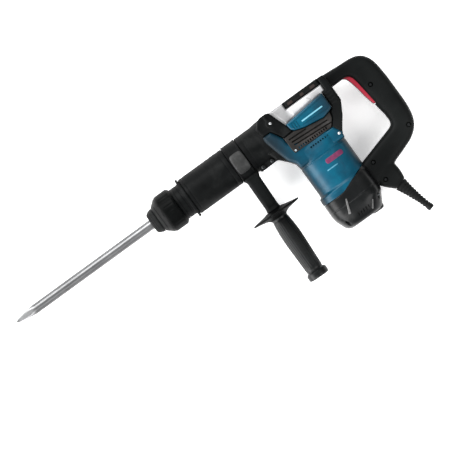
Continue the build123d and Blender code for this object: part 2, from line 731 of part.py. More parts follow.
with BuildPart() as armature_windings:
    with BuildSketch(MID_PLANE):
        with BuildLine():
            Polyline(*motor((78.5, 9), (78.5, 14), (81, 19), (85.9, 19.5), (85.9, 7.05), (80, 7.05)), close=True)
        make_face()
        with BuildLine():
            Polyline(*motor((132.1, 7.05), (132.1, 19.5), (138, 19), (143, 13), (143, 9), (141, 7.05)), close=True)
        make_face()
    revolve(axis=MOTOR_AXIS)

with BuildPart() as commutator:
    with BuildSketch(across_motor(146)):
        Circle(15)
        Circle(7.02, mode=Mode.SUBTRACT)
        with PolarLocations(14.4, 24):
            Rectangle(2.4, 0.6, mode=Mode.SUBTRACT)
    extrude(amount=19)

with BuildPart() as fan:
    with BuildSketch(across_motor(64)):
        Circle(39)
        Circle(7.02, mode=Mode.SUBTRACT)
    extrude(amount=2)
    with BuildSketch(across_motor(66)):
        Circle(12)
        Circle(7.02, mode=Mode.SUBTRACT)
        with PolarLocations(24.5, 11):
            Rectangle(27, 1.6, rotation=18)
    extrude(amount=9)

with BuildPart() as motor_bearings:
    for v0, width, ri, ro in ((47.6, 10.0, 6.03, 16.0), (171.2, 9.0, 5.0, 13.0)):
        with BuildSketch(MID_PLANE):
            wall = (ro - ri) * 0.28
            with BuildLine():
                Polyline(*motor((v0, ri), (v0, ri + wall), (v0 + width, ri + wall), (v0 + width, ri)), close=True)
            make_face()
            with BuildLine():
                Polyline(*motor((v0, ro - wall), (v0, ro), (v0 + width, ro), (v0 + width, ro - wall)), close=True)
            make_face()
        revolve(axis=MOTOR_AXIS)
        ball = (ro - ri) * 0.22 - 0.06
        with Locations(across_motor(v0 + width / 2)):
            with PolarLocations((ri + ro) / 2, 8):
                Sphere(ball)

with BuildPart() as brush_holders:
    with BuildSketch(across_motor(147.5)):
        with Locations((28, 0), (-28, 0)):
            Rectangle(22, 12)
    extrude(amount=15)
    with BuildSketch(across_motor(149.5)):
        with Locations((27, 0), (-27, 0)):
            Rectangle(26, 8.1)
    extrude(amount=11, mode=Mode.SUBTRACT)

with BuildPart() as carbon_brushes:
    with BuildSketch(across_motor(149.6)):
        with Locations((22.7, 0), (-22.7, 0)):
            Rectangle(15, 8)
    extrude(amount=10.8)

with BuildPart() as brush_springs:
    for sign in (1, -1):
        with BuildLine():
            wire = Helix(pitch=1.7, height=7.2, radius=2.6, center=(X(MOTOR_U) + sign * 30.9, Y(155), MID), direction=(sign, 0, 0))
        with BuildSketch(Plane(origin=wire @ 0, z_dir=wire % 0)):
            Circle(0.35)
        sweep(path=wire, is_frenet=True)

# ================================================================ rear handle
with BuildPart() as handle_form:
    with BuildSketch(MID_PLANE):
        with BuildLine():
            back = Spline(*side((669, -36.3), (690, -34.6), (710, -33), (735, -31.3), (748, -28), (758, -21.5), (764, -13.5), (767.8, -4), (769.8, 8),
                                (771.2, 30), (771.9, 60), (772, 80), (770.8, 100), (768, 114), (763.5, 125.5), (757, 134), (749, 141),
                                (740, 146), (728, 150.2), (714, 155), (700, 159.7), (693, 162.2)))
            heel = Polyline(back @ 1, *side((694.6, 178), (692.6, 193.2), (670.2, 200.4), (659.8, 190.4), (649.4, 178.6), (649.4, 127.4), (700, 113)))
            palm = Spline(heel @ 1, *side((713, 109.6), (722, 107), (727.6, 103.4), (730, 97), (730, 86), (728, 72), (726.6, 58), (725.8, 40), (724, 15),
                                          (720.5, 0), (716, -5.4), (708, -8.2)))
            Polyline(palm @ 1, *side((682.6, -8.2), (669, -12.2)), back @ 0)
        make_face()
    extrude(amount=HANDLE_HALF, both=True)
    for curve, reaches in ((back, (11,)), (palm, (6.5, 5, 3.5))):
        for reach in reaches:
            rim = [e for e in handle_form.edges()
                   if abs(abs(e.center().Z - MID) - HANDLE_HALF) < 0.01 and abs(e.length - curve.length) < 0.25 * curve.length
                   and (e @ 0.5 - Vector((curve @ 0.5).X, (curve @ 0.5).Y, (e @ 0.5).Z)).length < 25]
            try:
                if curve is back:
                    fillet(rim, reach)
                else:
                    chamfer(rim, reach)
                print("handle rim", len(rim), reach)
                break
            except Exception as trouble:
                print("no fillet of", reach, str(trouble)[:80])

with BuildPart() as handle_hollow:
    with BuildSketch(MID_PLANE):
        with BuildLine():
            Polyline(*side((676, -28.5), (736, -24), (748, -20), (756, -12), (760, -2), (763, 30), (764, 78), (762.6, 100), (757, 118), (748, 130),
                           (732, 139), (712, 146), (690, 153), (686, 160), (686.4, 176), (684, 181), (668, 184), (657, 175),
                           (657, 133), (702, 120.6), (728, 114), (736.6, 106), (738.4, 98), (738, 84), (735.6, 70), (734, 60), (734, -4), (676, -14)), close=True)
        make_face()
    extrude(amount=12, both=True)
    with BuildSketch(MID_PLANE):                                # trigger opening
        with BuildLine():
            Polyline(*side((684, -17), (684, -5), (700, -2), (717, 30), (722, 59), (742, 59), (742, -17)), close=True)
        make_face()
    extrude(amount=12, both=True)
    with BuildSketch(SLEEVE_PLANE.offset(-19)):                  # cable sleeve seat
        Circle(11.4)
    extrude(amount=9.7)
    with BuildSketch(SLEEVE_PLANE.offset(-10)):
        Circle(9.55)
    extrude(amount=14)

HANDLE_SCREWS = ((679.5, -25), (739.5, 27), (752, 122), (664, 139), (664, 176))
PIVOT = (TRIGGER_PIVOT[0], TRIGGER_PIVOT[1])

with BuildPart() as handle_whole:
    add(handle_form.part)
    add(handle_hollow.part, mode=Mode.SUBTRACT)
    with BuildSketch(MID_PLANE):                                # screw bosses and the trigger's pivot bosses
        with Locations(*side(*HANDLE_SCREWS)):
            Circle(4.0)
    extrude(amount=12.5, both=True)
    with BuildSketch(MID_PLANE.offset(11.4)):
        with Locations(side(PIVOT)[0]):
            Circle(4.5)
    extrude(amount=2)
    with BuildSketch(MID_PLANE.offset(-11.4)):
        with Locations(side(PIVOT)[0]):
            Circle(4.5)
    extrude(amount=-2)
    with BuildSketch(MID_PLANE.offset(-14)):
        with Locations(side(PIVOT)[0]):
            Circle(2.0)
    extrude(amount=28, mode=Mode.SUBTRACT)
    with BuildSketch(MID_PLANE.offset(-10)):                    # screw holes, with a counterbore on the left side
        with Locations(*side(*HANDLE_SCREWS)):
            Circle(1.9)
    extrude(amount=40, mode=Mode.SUBTRACT)
    with BuildSketch(MID_PLANE.offset(12.5)):
        with Locations(*side(*HANDLE_SCREWS)):
            Circle(3.9)
    extrude(amount=10, mode=Mode.SUBTRACT)

with BuildPart() as handle_left_shell:
    add(handle_whole.part)
    split(bisect_by=MID_PLANE, keep=Keep.TOP)

with BuildPart() as handle_right_shell:
    add(handle_whole.part)
    split(bisect_by=MID_PLANE, keep=Keep.BOTTOM)

with BuildPart() as handle_screws:
    with BuildSketch(MID_PLANE.offset(-9.8)):
        with Locations(*side(*HANDLE_SCREWS)):
            Circle(1.85)
    extrude(amount=22.3)
    with BuildSketch(MID_PLANE.offset(12.5)):
        with Locations(*side(*HANDLE_SCREWS)):
            Circle(3.7)
    extrude(amount=2.6)
    with BuildSketch(MID_PLANE.offset(13.6)):
        with Locations(*side(*HANDLE_SCREWS)):
            RegularPolygon(1.7, 6)
    extrude(amount=3, mode=Mode.SUBTRACT)

with BuildPart() as trigger:
    with BuildSketch(MID_PLANE):
        with BuildLine():
            face_line = Spline(*side((690.5, -6.0), (700, -4.6), (707.5, -2), (712.6, 5), (716.8, 20), (720, 38), (723.4, 52), (725.6, 57)))
            Polyline(face_line @ 1, *side((732.6, 57.4), (731, 40), (728.6, 20), (725.4, 4), (718, -9), (702, -19), (694, -20), (689, -17)), face_line @ 0)
        make_face()
    extrude(amount=11.0, both=True)
    front = [e for e in trigger.edges() if abs(abs(e.center().Z - MID) - 11.0) < 0.01 and e.center().X < X(722) and e.center().Y < Y(-3) and e.length > 20]
    fillet(front, 3.2)
    with BuildSketch(MID_PLANE.offset(-12)):
        with Locations(side(PIVOT)[0]):
            Circle(2.04)
    extrude(amount=24, mode=Mode.SUBTRACT)

with BuildPart() as trigger_pin:
    with BuildSketch(MID_PLANE.offset(-14)):
        with Locations(side(PIVOT)[0]):
            Circle(2.0)
    extrude(amount=28)

with BuildPart() as trigger_spring:
    with BuildLine():
        return_coil = Helix(pitch=2.0, height=11.0, radius=3.2, center=(X(728.6), Y(9), MID), direction=(1, 0, 0))
    with BuildSketch(Plane(origin=return_coil @ 0, z_dir=return_coil % 0)):
        Circle(0.4)
    sweep(path=return_coil, is_frenet=True)

with BuildPart() as switch:
    with BuildSketch(MID_PLANE):
        with BuildLine():
            Polyline(*side((742, -6), (754, -6), (757, 1), (752.5, 3), (752.5, 13), (760.4, 13), (761.4, 50), (761.4, 74), (746, 74), (746, 31.6), (742, 19)), close=True)
        make_face()
    extrude(amount=10.6, both=True)
    with BuildSketch(Plane(origin=(X(746), Y(48), MID), x_dir=(0, 0, 1), z_dir=(-1, 0, 0))):
        RectangleRounded(8, 7, 1.5)
    extrude(amount=4.6)

with BuildPart() as cable_clamp:
    with BuildSketch(MID_PLANE):
        with Locations(side((677, 166))[0]):
            RectangleRounded(15, 9, 2)
    extrude(amount=9, both=True)
    with BuildSketch(across_motor(160, 677)):
        Circle(4.3)
    extrude(amount=14, mode=Mode.SUBTRACT)

with BuildPart() as cable_sleeve:
    with BuildSketch(MID_PLANE):
        with BuildLine():
            Polyline(*[sleeve_point(t, r) for t, r in [(-13, CABLE_R), (-13, 11.3), (-9.4, 11.3), (-9.4, 9.5), (0.35, 9.5), (0.35, 12.1), (4, 12.0),
                                                       (14.6, 10.1), (28.2, 8.4), (42.8, 6.8), (55.4, 6.3), (66.5, 6.1), (68.6, 5.6), (69.6, 4.6), (69.6, CABLE_R)]], close=True)
        make_face()
    revolve(axis=SLEEVE_AXIS)
    for k in range(8):                                          # flexing grooves
        t = 9.5 + k * 6.6
        with BuildSketch(SLEEVE_PLANE.offset(t)):
            Circle(14)
            Circle(9.9 - k * 0.62, mode=Mode.SUBTRACT)
        extrude(amount=1.8, mode=Mode.SUBTRACT)

# ================================================================ side handle
with BuildPart() as clamp_band:
    with BuildSketch(across_barrel(462.5)):
        Circle(36.6)
        Circle(NECK_R + 0.3, mode=Mode.SUBTRACT)
    extrude(amount=27.5)
    with BuildSketch(across_grip(30)):
        with Locations((0, 10.6), (0, -10.6)):
            Rectangle(18, 3)
    extrude(amount=24)
    with BuildSketch(across_grip(51)):
        Rectangle(18, 24.2)
    extrude(amount=3.4)
    with BuildSketch(across_barrel(460)):
        Circle(NECK_R + 0.3)
    extrude(amount=34, mode=Mode.SUBTRACT)
    with BuildSketch(across_grip(50)):
        Circle(4.05)
    extrude(amount=6, mode=Mode.SUBTRACT)

with BuildPart() as grip_stem:
    with BuildSketch(across_grip(26)):
        RectangleRounded(24, 32, 7)
    extrude(amount=77.7)
    with BuildSketch(MID_PLANE):
        with BuildLine():
            Polyline(*side((459.6, 30), (459.6, 38.4), (466, 45), (467, 52), (490.4, 52), (491, 46), (496.4, 39.4), (496.4, 30)), close=True)
        make_face()
    extrude(amount=16, both=True)
    with BuildSketch(across_barrel(455)):
        Circle(36.9)
    extrude(amount=45, mode=Mode.SUBTRACT)
    with BuildSketch(across_grip(26)):                          # pocket for the band's legs and the bolt's head
        Rectangle(18.6, 25)
    extrude(amount=29, mode=Mode.SUBTRACT)
    with BuildSketch(across_grip(50)):
        Circle(4.05)
    extrude(amount=60, mode=Mode.SUBTRACT)

with BuildPart() as clamp_bolt:
    with BuildSketch(across_grip(46.2)):
        RegularPolygon(7.5, 6)
    extrude(amount=4.8)
    with BuildSketch(across_grip(51)):
        Circle(4.0)
    extrude(amount=98)

with BuildPart() as grip_nut:
    with BuildSketch(across_grip(124)):
        RegularPolygon(7.6, 6)
        Circle(4.06, mode=Mode.SUBTRACT)
    extrude(amount=14)

with BuildPart() as side_grip:
    with BuildSketch(GRIP_PLANE):
        with BuildLine():
            Polyline((0, -104), (17, -104), (30, -105.4), (44, -107.8), (51.5, -109.5), (51.5, -112.6), (42, -114), (26, -117), (16.4, -118.6), (0, -118.6), close=True)
        make_face()
    revolve(axis=GRIP_AXIS)
    with BuildSketch(across_grip(100)):
        Ellipse(46.5, 51.5)
    extrude(amount=25, mode=Mode.INTERSECT)
    with BuildSketch(GRIP_PLANE):
        with BuildLine():
            hold = Spline((15.0, -117), (14.5, -121), (15.8, -132), (17.2, -147), (17.6, -165), (17.1, -185), (16.4, -205), (15.9, -222), (15.7, -231.2))
            Polyline(hold @ 1, (17.6, -231.8), (19.6, -233.4), (20, -235), (20, -242.6), (18.8, -245.4), (15, -246.1), (0, -246.1), (0, -117), hold @ 0)
        make_face()
    revolve(axis=GRIP_AXIS)
    with BuildSketch(across_grip(124)):
        RegularPolygon(7.6, 6)
    extrude(amount=14, mode=Mode.SUBTRACT)
    with BuildSketch(across_grip(100)):
        Circle(4.06)
    extrude(amount=54, mode=Mode.SUBTRACT)


# ================================================================ export
PIECES = {
    "chisel": chisel, "tool_holder": tool_holder, "locking_segment_upper": locking_segment_upper, "locking_segment_lower": locking_segment_lower, "dust_cap": dust_cap,
    "locking_sleeve": locking_sleeve, "sleeve_spring": sleeve_spring, "front_ring": front_ring,
    "impact_bolt": impact_bolt, "damping_ring": damping_ring, "bolt_guide": bolt_guide, "cylinder_tube": cylinder_tube,
    "ram": ram, "ram_o_ring": ram_o_ring, "piston": piston, "piston_o_ring": piston_o_ring, "wrist_pin": wrist_pin,
    "con_rod": con_rod, "con_rod_bearing": con_rod_bearing, "crankshaft": crankshaft, "crank_gear": crank_gear,
    "crank_bearings": crank_bearings, "gear_housing": gear_housing, "barrel_housing": barrel_housing,
    "top_cover": top_cover, "motor_housing": motor_housing, "bearing_plate": bearing_plate,
    "side_cover_left": side_cover_left, "side_cover_right": side_cover_right, "vent_grille_left": vent_grille_left,
    "vent_grille_right": vent_grille_right, "rear_bumper": rear_bumper, "motor_cap": motor_cap,
    "brush_bridge": brush_bridge, "stator_core": stator_core, "field_coils": field_coils,
    "armature_shaft": armature_shaft, "armature_core": armature_core, "armature_windings": armature_windings,
    "commutator": commutator, "fan": fan, "motor_bearings": motor_bearings, "brush_holders": brush_holders,
    "carbon_brushes": carbon_brushes, "brush_springs": brush_springs, "handle_left_shell": handle_left_shell,
    "handle_right_shell": handle_right_shell, "handle_screws": handle_screws, "trigger": trigger,
    "trigger_pin": trigger_pin, "trigger_spring": trigger_spring, "switch": switch,
    "cable_clamp": cable_clamp, "cable_sleeve": cable_sleeve, "clamp_band": clamp_band, "grip_stem": grip_stem,
    "clamp_bolt": clamp_bolt, "grip_nut": grip_nut, "side_grip": side_grip, "housing_screws": None,
}
os.makedirs("parts", exist_ok=True)
with BuildPart() as housing_screws:                             # the visible joint screws share one node
    add(barrel_screws.part)
    add(flange_screws.part)
    add(rear_screws.part)
    add(grille_screws.part)
    add(top_cover_screws.part)
    add(cap_screws.part)
PIECES["housing_screws"] = housing_screws
low = [1e9] * 3
high = [-1e9] * 3
for name, piece in PIECES.items():
    piece.part.label = name
    export_step(piece.part, f"parts/{name}.step")
    b = piece.part.bounding_box()
    low = [min(a, c) for a, c in zip(low, b.min)]
    high = [max(a, c) for a, c in zip(high, b.max)]
print(len(PIECES), "pieces", [round(v, 3) for v in low], [round(v, 3) for v in high])
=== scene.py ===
import json
import math
import random

import bmesh
import bpy
import numpy as np
from mathutils import Matrix, Vector, noise


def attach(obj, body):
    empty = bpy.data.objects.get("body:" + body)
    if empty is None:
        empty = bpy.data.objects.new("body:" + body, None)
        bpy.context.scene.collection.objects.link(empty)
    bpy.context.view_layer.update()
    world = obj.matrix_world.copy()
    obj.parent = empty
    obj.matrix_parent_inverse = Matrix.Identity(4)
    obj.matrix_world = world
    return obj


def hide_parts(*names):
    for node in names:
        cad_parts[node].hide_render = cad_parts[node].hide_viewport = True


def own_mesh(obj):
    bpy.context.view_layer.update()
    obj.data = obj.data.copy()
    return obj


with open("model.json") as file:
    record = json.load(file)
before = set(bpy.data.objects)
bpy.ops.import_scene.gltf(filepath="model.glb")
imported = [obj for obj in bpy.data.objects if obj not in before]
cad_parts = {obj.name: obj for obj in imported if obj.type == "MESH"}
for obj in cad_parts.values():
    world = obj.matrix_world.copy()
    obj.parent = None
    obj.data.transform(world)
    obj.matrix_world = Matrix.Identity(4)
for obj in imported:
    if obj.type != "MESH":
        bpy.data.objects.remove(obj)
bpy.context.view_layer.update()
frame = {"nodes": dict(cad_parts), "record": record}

random.seed(7)
np.random.seed(7)

# ------------------------------------------------------------------ stations of the tool, in millimetres
# u runs from the point of the chisel to the rear grip, v from the barrel axis towards the motor, w out of the left side
LENGTH, TOP_V, LOW_V, MID = 772.0, -39.0, 264.964, 51.5


def P(u, v, w=0.0):
    return Vector(((u - LENGTH / 2) / 1000, ((TOP_V + LOW_V) / 2 - v) / 1000, (MID + w) / 1000))


def mm(x):
    return x / 1000.0


# ================================================================== materials
def new_mat(name):
    m = bpy.data.materials.new(name)
    m.use_nodes = True
    nt = m.node_tree
    nt.nodes.clear()
    out = nt.nodes.new("ShaderNodeOutputMaterial")
    sh = nt.nodes.new("ShaderNodeBsdfPrincipled")
    nt.links.new(sh.outputs["BSDF"], out.inputs["Surface"])
    return m, nt, sh


def node(nt, kind, **props):
    n = nt.nodes.new(kind)
    for k, v in props.items():
        if k.startswith("in_"):
            n.inputs[k[3:]].default_value = v
        else:
            setattr(n, k, v)
    return n


def coords(nt, scale=(1, 1, 1)):
    tc = node(nt, "ShaderNodeTexCoord")
    mp = node(nt, "ShaderNodeMapping")
    mp.inputs["Scale"].default_value = scale
    nt.links.new(tc.outputs["Object"], mp.inputs["Vector"])
    return mp.outputs["Vector"]


def noise_tex(nt, vec, scale, detail=4.0, rough=0.55, dist=0.0):
    n = node(nt, "ShaderNodeTexNoise")
    n.inputs["Scale"].default_value = scale
    n.inputs["Detail"].default_value = detail
    n.inputs["Roughness"].default_value = rough
    n.inputs["Distortion"].default_value = dist
    nt.links.new(vec, n.inputs["Vector"])
    return n.outputs["Fac"]


def ramp(nt, fac, stops):
    r = node(nt, "ShaderNodeValToRGB")
    els = r.color_ramp.elements
    while len(els) < len(stops):
        els.new(0.5)
    for e, (pos, col) in zip(els, stops):
        e.position = pos
        e.color = (*col, 1) if len(col) == 3 else col
    nt.links.new(fac, r.inputs["Fac"])
    return r.outputs["Color"]


def map_range(nt, fac, lo, hi, a, b):
    m = node(nt, "ShaderNodeMapRange")
    m.inputs["From Min"].default_value = lo
    m.inputs["From Max"].default_value = hi
    m.inputs["To Min"].default_value = a
    m.inputs["To Max"].default_value = b
    nt.links.new(fac, m.inputs["Value"])
    return m.outputs["Result"]


def mix_rgb(nt, fac, a, b, mode="MIX"):
    m = node(nt, "ShaderNodeMix", data_type="RGBA", blend_type=mode)
    if isinstance(fac, (int, float)):
        m.inputs[0].default_value = fac
    else:
        nt.links.new(fac, m.inputs[0])
    for sock, val in ((m.inputs[6], a), (m.inputs[7], b)):
        if isinstance(val, tuple):
            sock.default_value = (*val, 1) if len(val) == 3 else val
        else:
            nt.links.new(val, sock)
    return m.outputs[2]


def math_node(nt, op, a, b=None):
    m = node(nt, "ShaderNodeMath", operation=op)
    for i, v in enumerate((a, b)):
        if v is None:
            continue
        if isinstance(v, (int, float)):
            m.inputs[i].default_value = v
        else:
            nt.links.new(v, m.inputs[i])
    return m.outputs[0]


def bump(nt, sh, height, strength, distance, after=None):
    b = node(nt, "ShaderNodeBump")
    b.inputs["Strength"].default_value = strength
    b.inputs["Distance"].default_value = distance
    nt.links.new(height, b.inputs["Height"])
    if after is not None:
        nt.links.new(after, b.inputs["Normal"])
    if sh is not None:
        nt.links.new(b.outputs["Normal"], sh.inputs["Normal"])
    return b.outputs["Normal"]


def edge_wear(nt, low=0.52, high=0.60):
    """White on the convex edges of the mesh, for rubbed corners."""
    g = node(nt, "ShaderNodeNewGeometry")
    return map_range(nt, g.outputs["Pointiness"], low, high, 0.0, 1.0)


# painted shade: darkens the base colour where a surface turns edge-on to the view, so every rim looks shaded
def painted_rim_shade(nt, tone, rim):
    lw = node(nt, "ShaderNodeLayerWeight")
    lw.inputs["Blend"].default_value = 0.5
    shade = map_range(nt, lw.outputs["Facing"], 0.28, 0.90, 1.0, rim)
    grey = node(nt, "ShaderNodeCombineColor")
    for k in range(3):
        nt.links.new(shade, grey.inputs[k])
    return mix_rgb(nt, 1.0, tone, grey.outputs[0], "MULTIPLY")


def toned_along(nt, vec, tone, along):
    """Slow change of tone along the tool, given at stations: painted highlight where it rises and painted shade where
    it falls.
    """
    xyz = node(nt, "ShaderNodeSeparateXYZ")
    nt.links.new(vec, xyz.inputs[0])
    lo, hi = along[0][0], along[-1][0]
    place = map_range(nt, xyz.outputs["X"], mm(lo) - 0.386, mm(hi) - 0.386, 0.0, 1.0)
    shade = ramp(nt, place, [((u - lo) / (hi - lo), (f, f, f)) for u, f in along])
    return shade if tone is None else mix_rgb(nt, 1.0, tone, shade, "MULTIPLY")


def plastic(name, base, light, dark, rough=(0.42, 0.58), grain=900.0, grain_depth=0.00006, wear=(0.10, 0.10, 0.10), wear_amount=0.35,
            spec=0.22, cloud=9.0, coat=0.0, rim=0.3, along=None):
    """Moulded plastic: fine spark-eroded grain, slow colour drift, hand-polished patches and rubbed edges, with painted
    shade on the rims that turn away from the view and, where along is given, painted light and shade along the tool.
    """
    m, nt, sh = new_mat(name)
    vec = coords(nt)
    drift = noise_tex(nt, vec, cloud, 5, 0.6, 0.2)
    tone = ramp(nt, drift, [(0.30, dark), (0.52, base), (0.74, light)])
    fine = noise_tex(nt, vec, grain, 2, 0.7)
    speck = map_range(nt, noise_tex(nt, vec, 140, 6, 0.75), 0.62, 0.72, 0.0, 1.0)
    tone = mix_rgb(nt, math_node(nt, "MULTIPLY", speck, 0.25), tone, light)
    rub = math_node(nt, "MULTIPLY", edge_wear(nt), math_node(nt, "MULTIPLY", map_range(nt, noise_tex(nt, vec, 55, 6, 0.7), 0.40, 0.62, 0.0, 1.0), wear_amount))
    tone = mix_rgb(nt, rub, tone, wear)
    if along:
        tone = toned_along(nt, vec, tone, along)
    tone = painted_rim_shade(nt, tone, rim)
    nt.links.new(tone, sh.inputs["Base Color"])
    polish = noise_tex(nt, vec, 22, 5, 0.6)
    r = map_range(nt, polish, 0.32, 0.70, rough[0], rough[1])
    if along:
        # the moulding is matt where its tone is low, that is, where the painted shade along the tool falls
        r = math_node(nt, "ADD", r, map_range(nt, toned_along(nt, vec, None, along), 0.0, 1.0, 0.30, 0.0))
    nt.links.new(r, sh.inputs["Roughness"])
    sh.inputs["Specular IOR Level"].default_value = spec
    if coat:
        sh.inputs["Coat Weight"].default_value = coat
        sh.inputs["Coat Roughness"].default_value = 0.22
    n1 = bump(nt, None, fine, 0.55, grain_depth)
    scuff = noise_tex(nt, coords(nt, (14, 90, 40)), 14, 6, 0.7)
    bump(nt, sh, scuff, 0.12, 0.00012, after=n1)
    return m


def metal(name, base, dark, rough=(0.2, 0.35), grain_scale=(4, 500, 500), grain_depth=0.00002, aniso=0.0, stain=(0.2, 0.2, 0.2), stain_amount=0.3, cloud=18.0, metallic=1.0, rim=0.55, along=None):
    """Machined or ground metal: directional grain and stains, with painted shade on the rims that turn away from the
    view and, where along is given, painted light and shade along the tool.
    """
    m, nt, sh = new_mat(name)
    sh.inputs["Metallic"].default_value = metallic
    vec = coords(nt)
    drift = noise_tex(nt, vec, cloud, 6, 0.62, 0.3)
    tone = ramp(nt, drift, [(0.32, dark), (0.62, base)])
    spots = map_range(nt, noise_tex(nt, vec, 95, 7, 0.7), 0.60, 0.70, 0.0, 1.0)
    tone = mix_rgb(nt, math_node(nt, "MULTIPLY", spots, stain_amount), tone, stain)
    if along:
        tone = toned_along(nt, vec, tone, along)
    tone = painted_rim_shade(nt, tone, rim)
    nt.links.new(tone, sh.inputs["Base Color"])
    lines = noise_tex(nt, coords(nt, grain_scale), 1.0, 4, 0.6)
    r = map_range(nt, lines, 0.3, 0.7, rough[0], rough[1])
    nt.links.new(r, sh.inputs["Roughness"])
    sh.inputs["Anisotropic"].default_value = aniso
    bump(nt, sh, lines, 0.35, grain_depth)
    return m


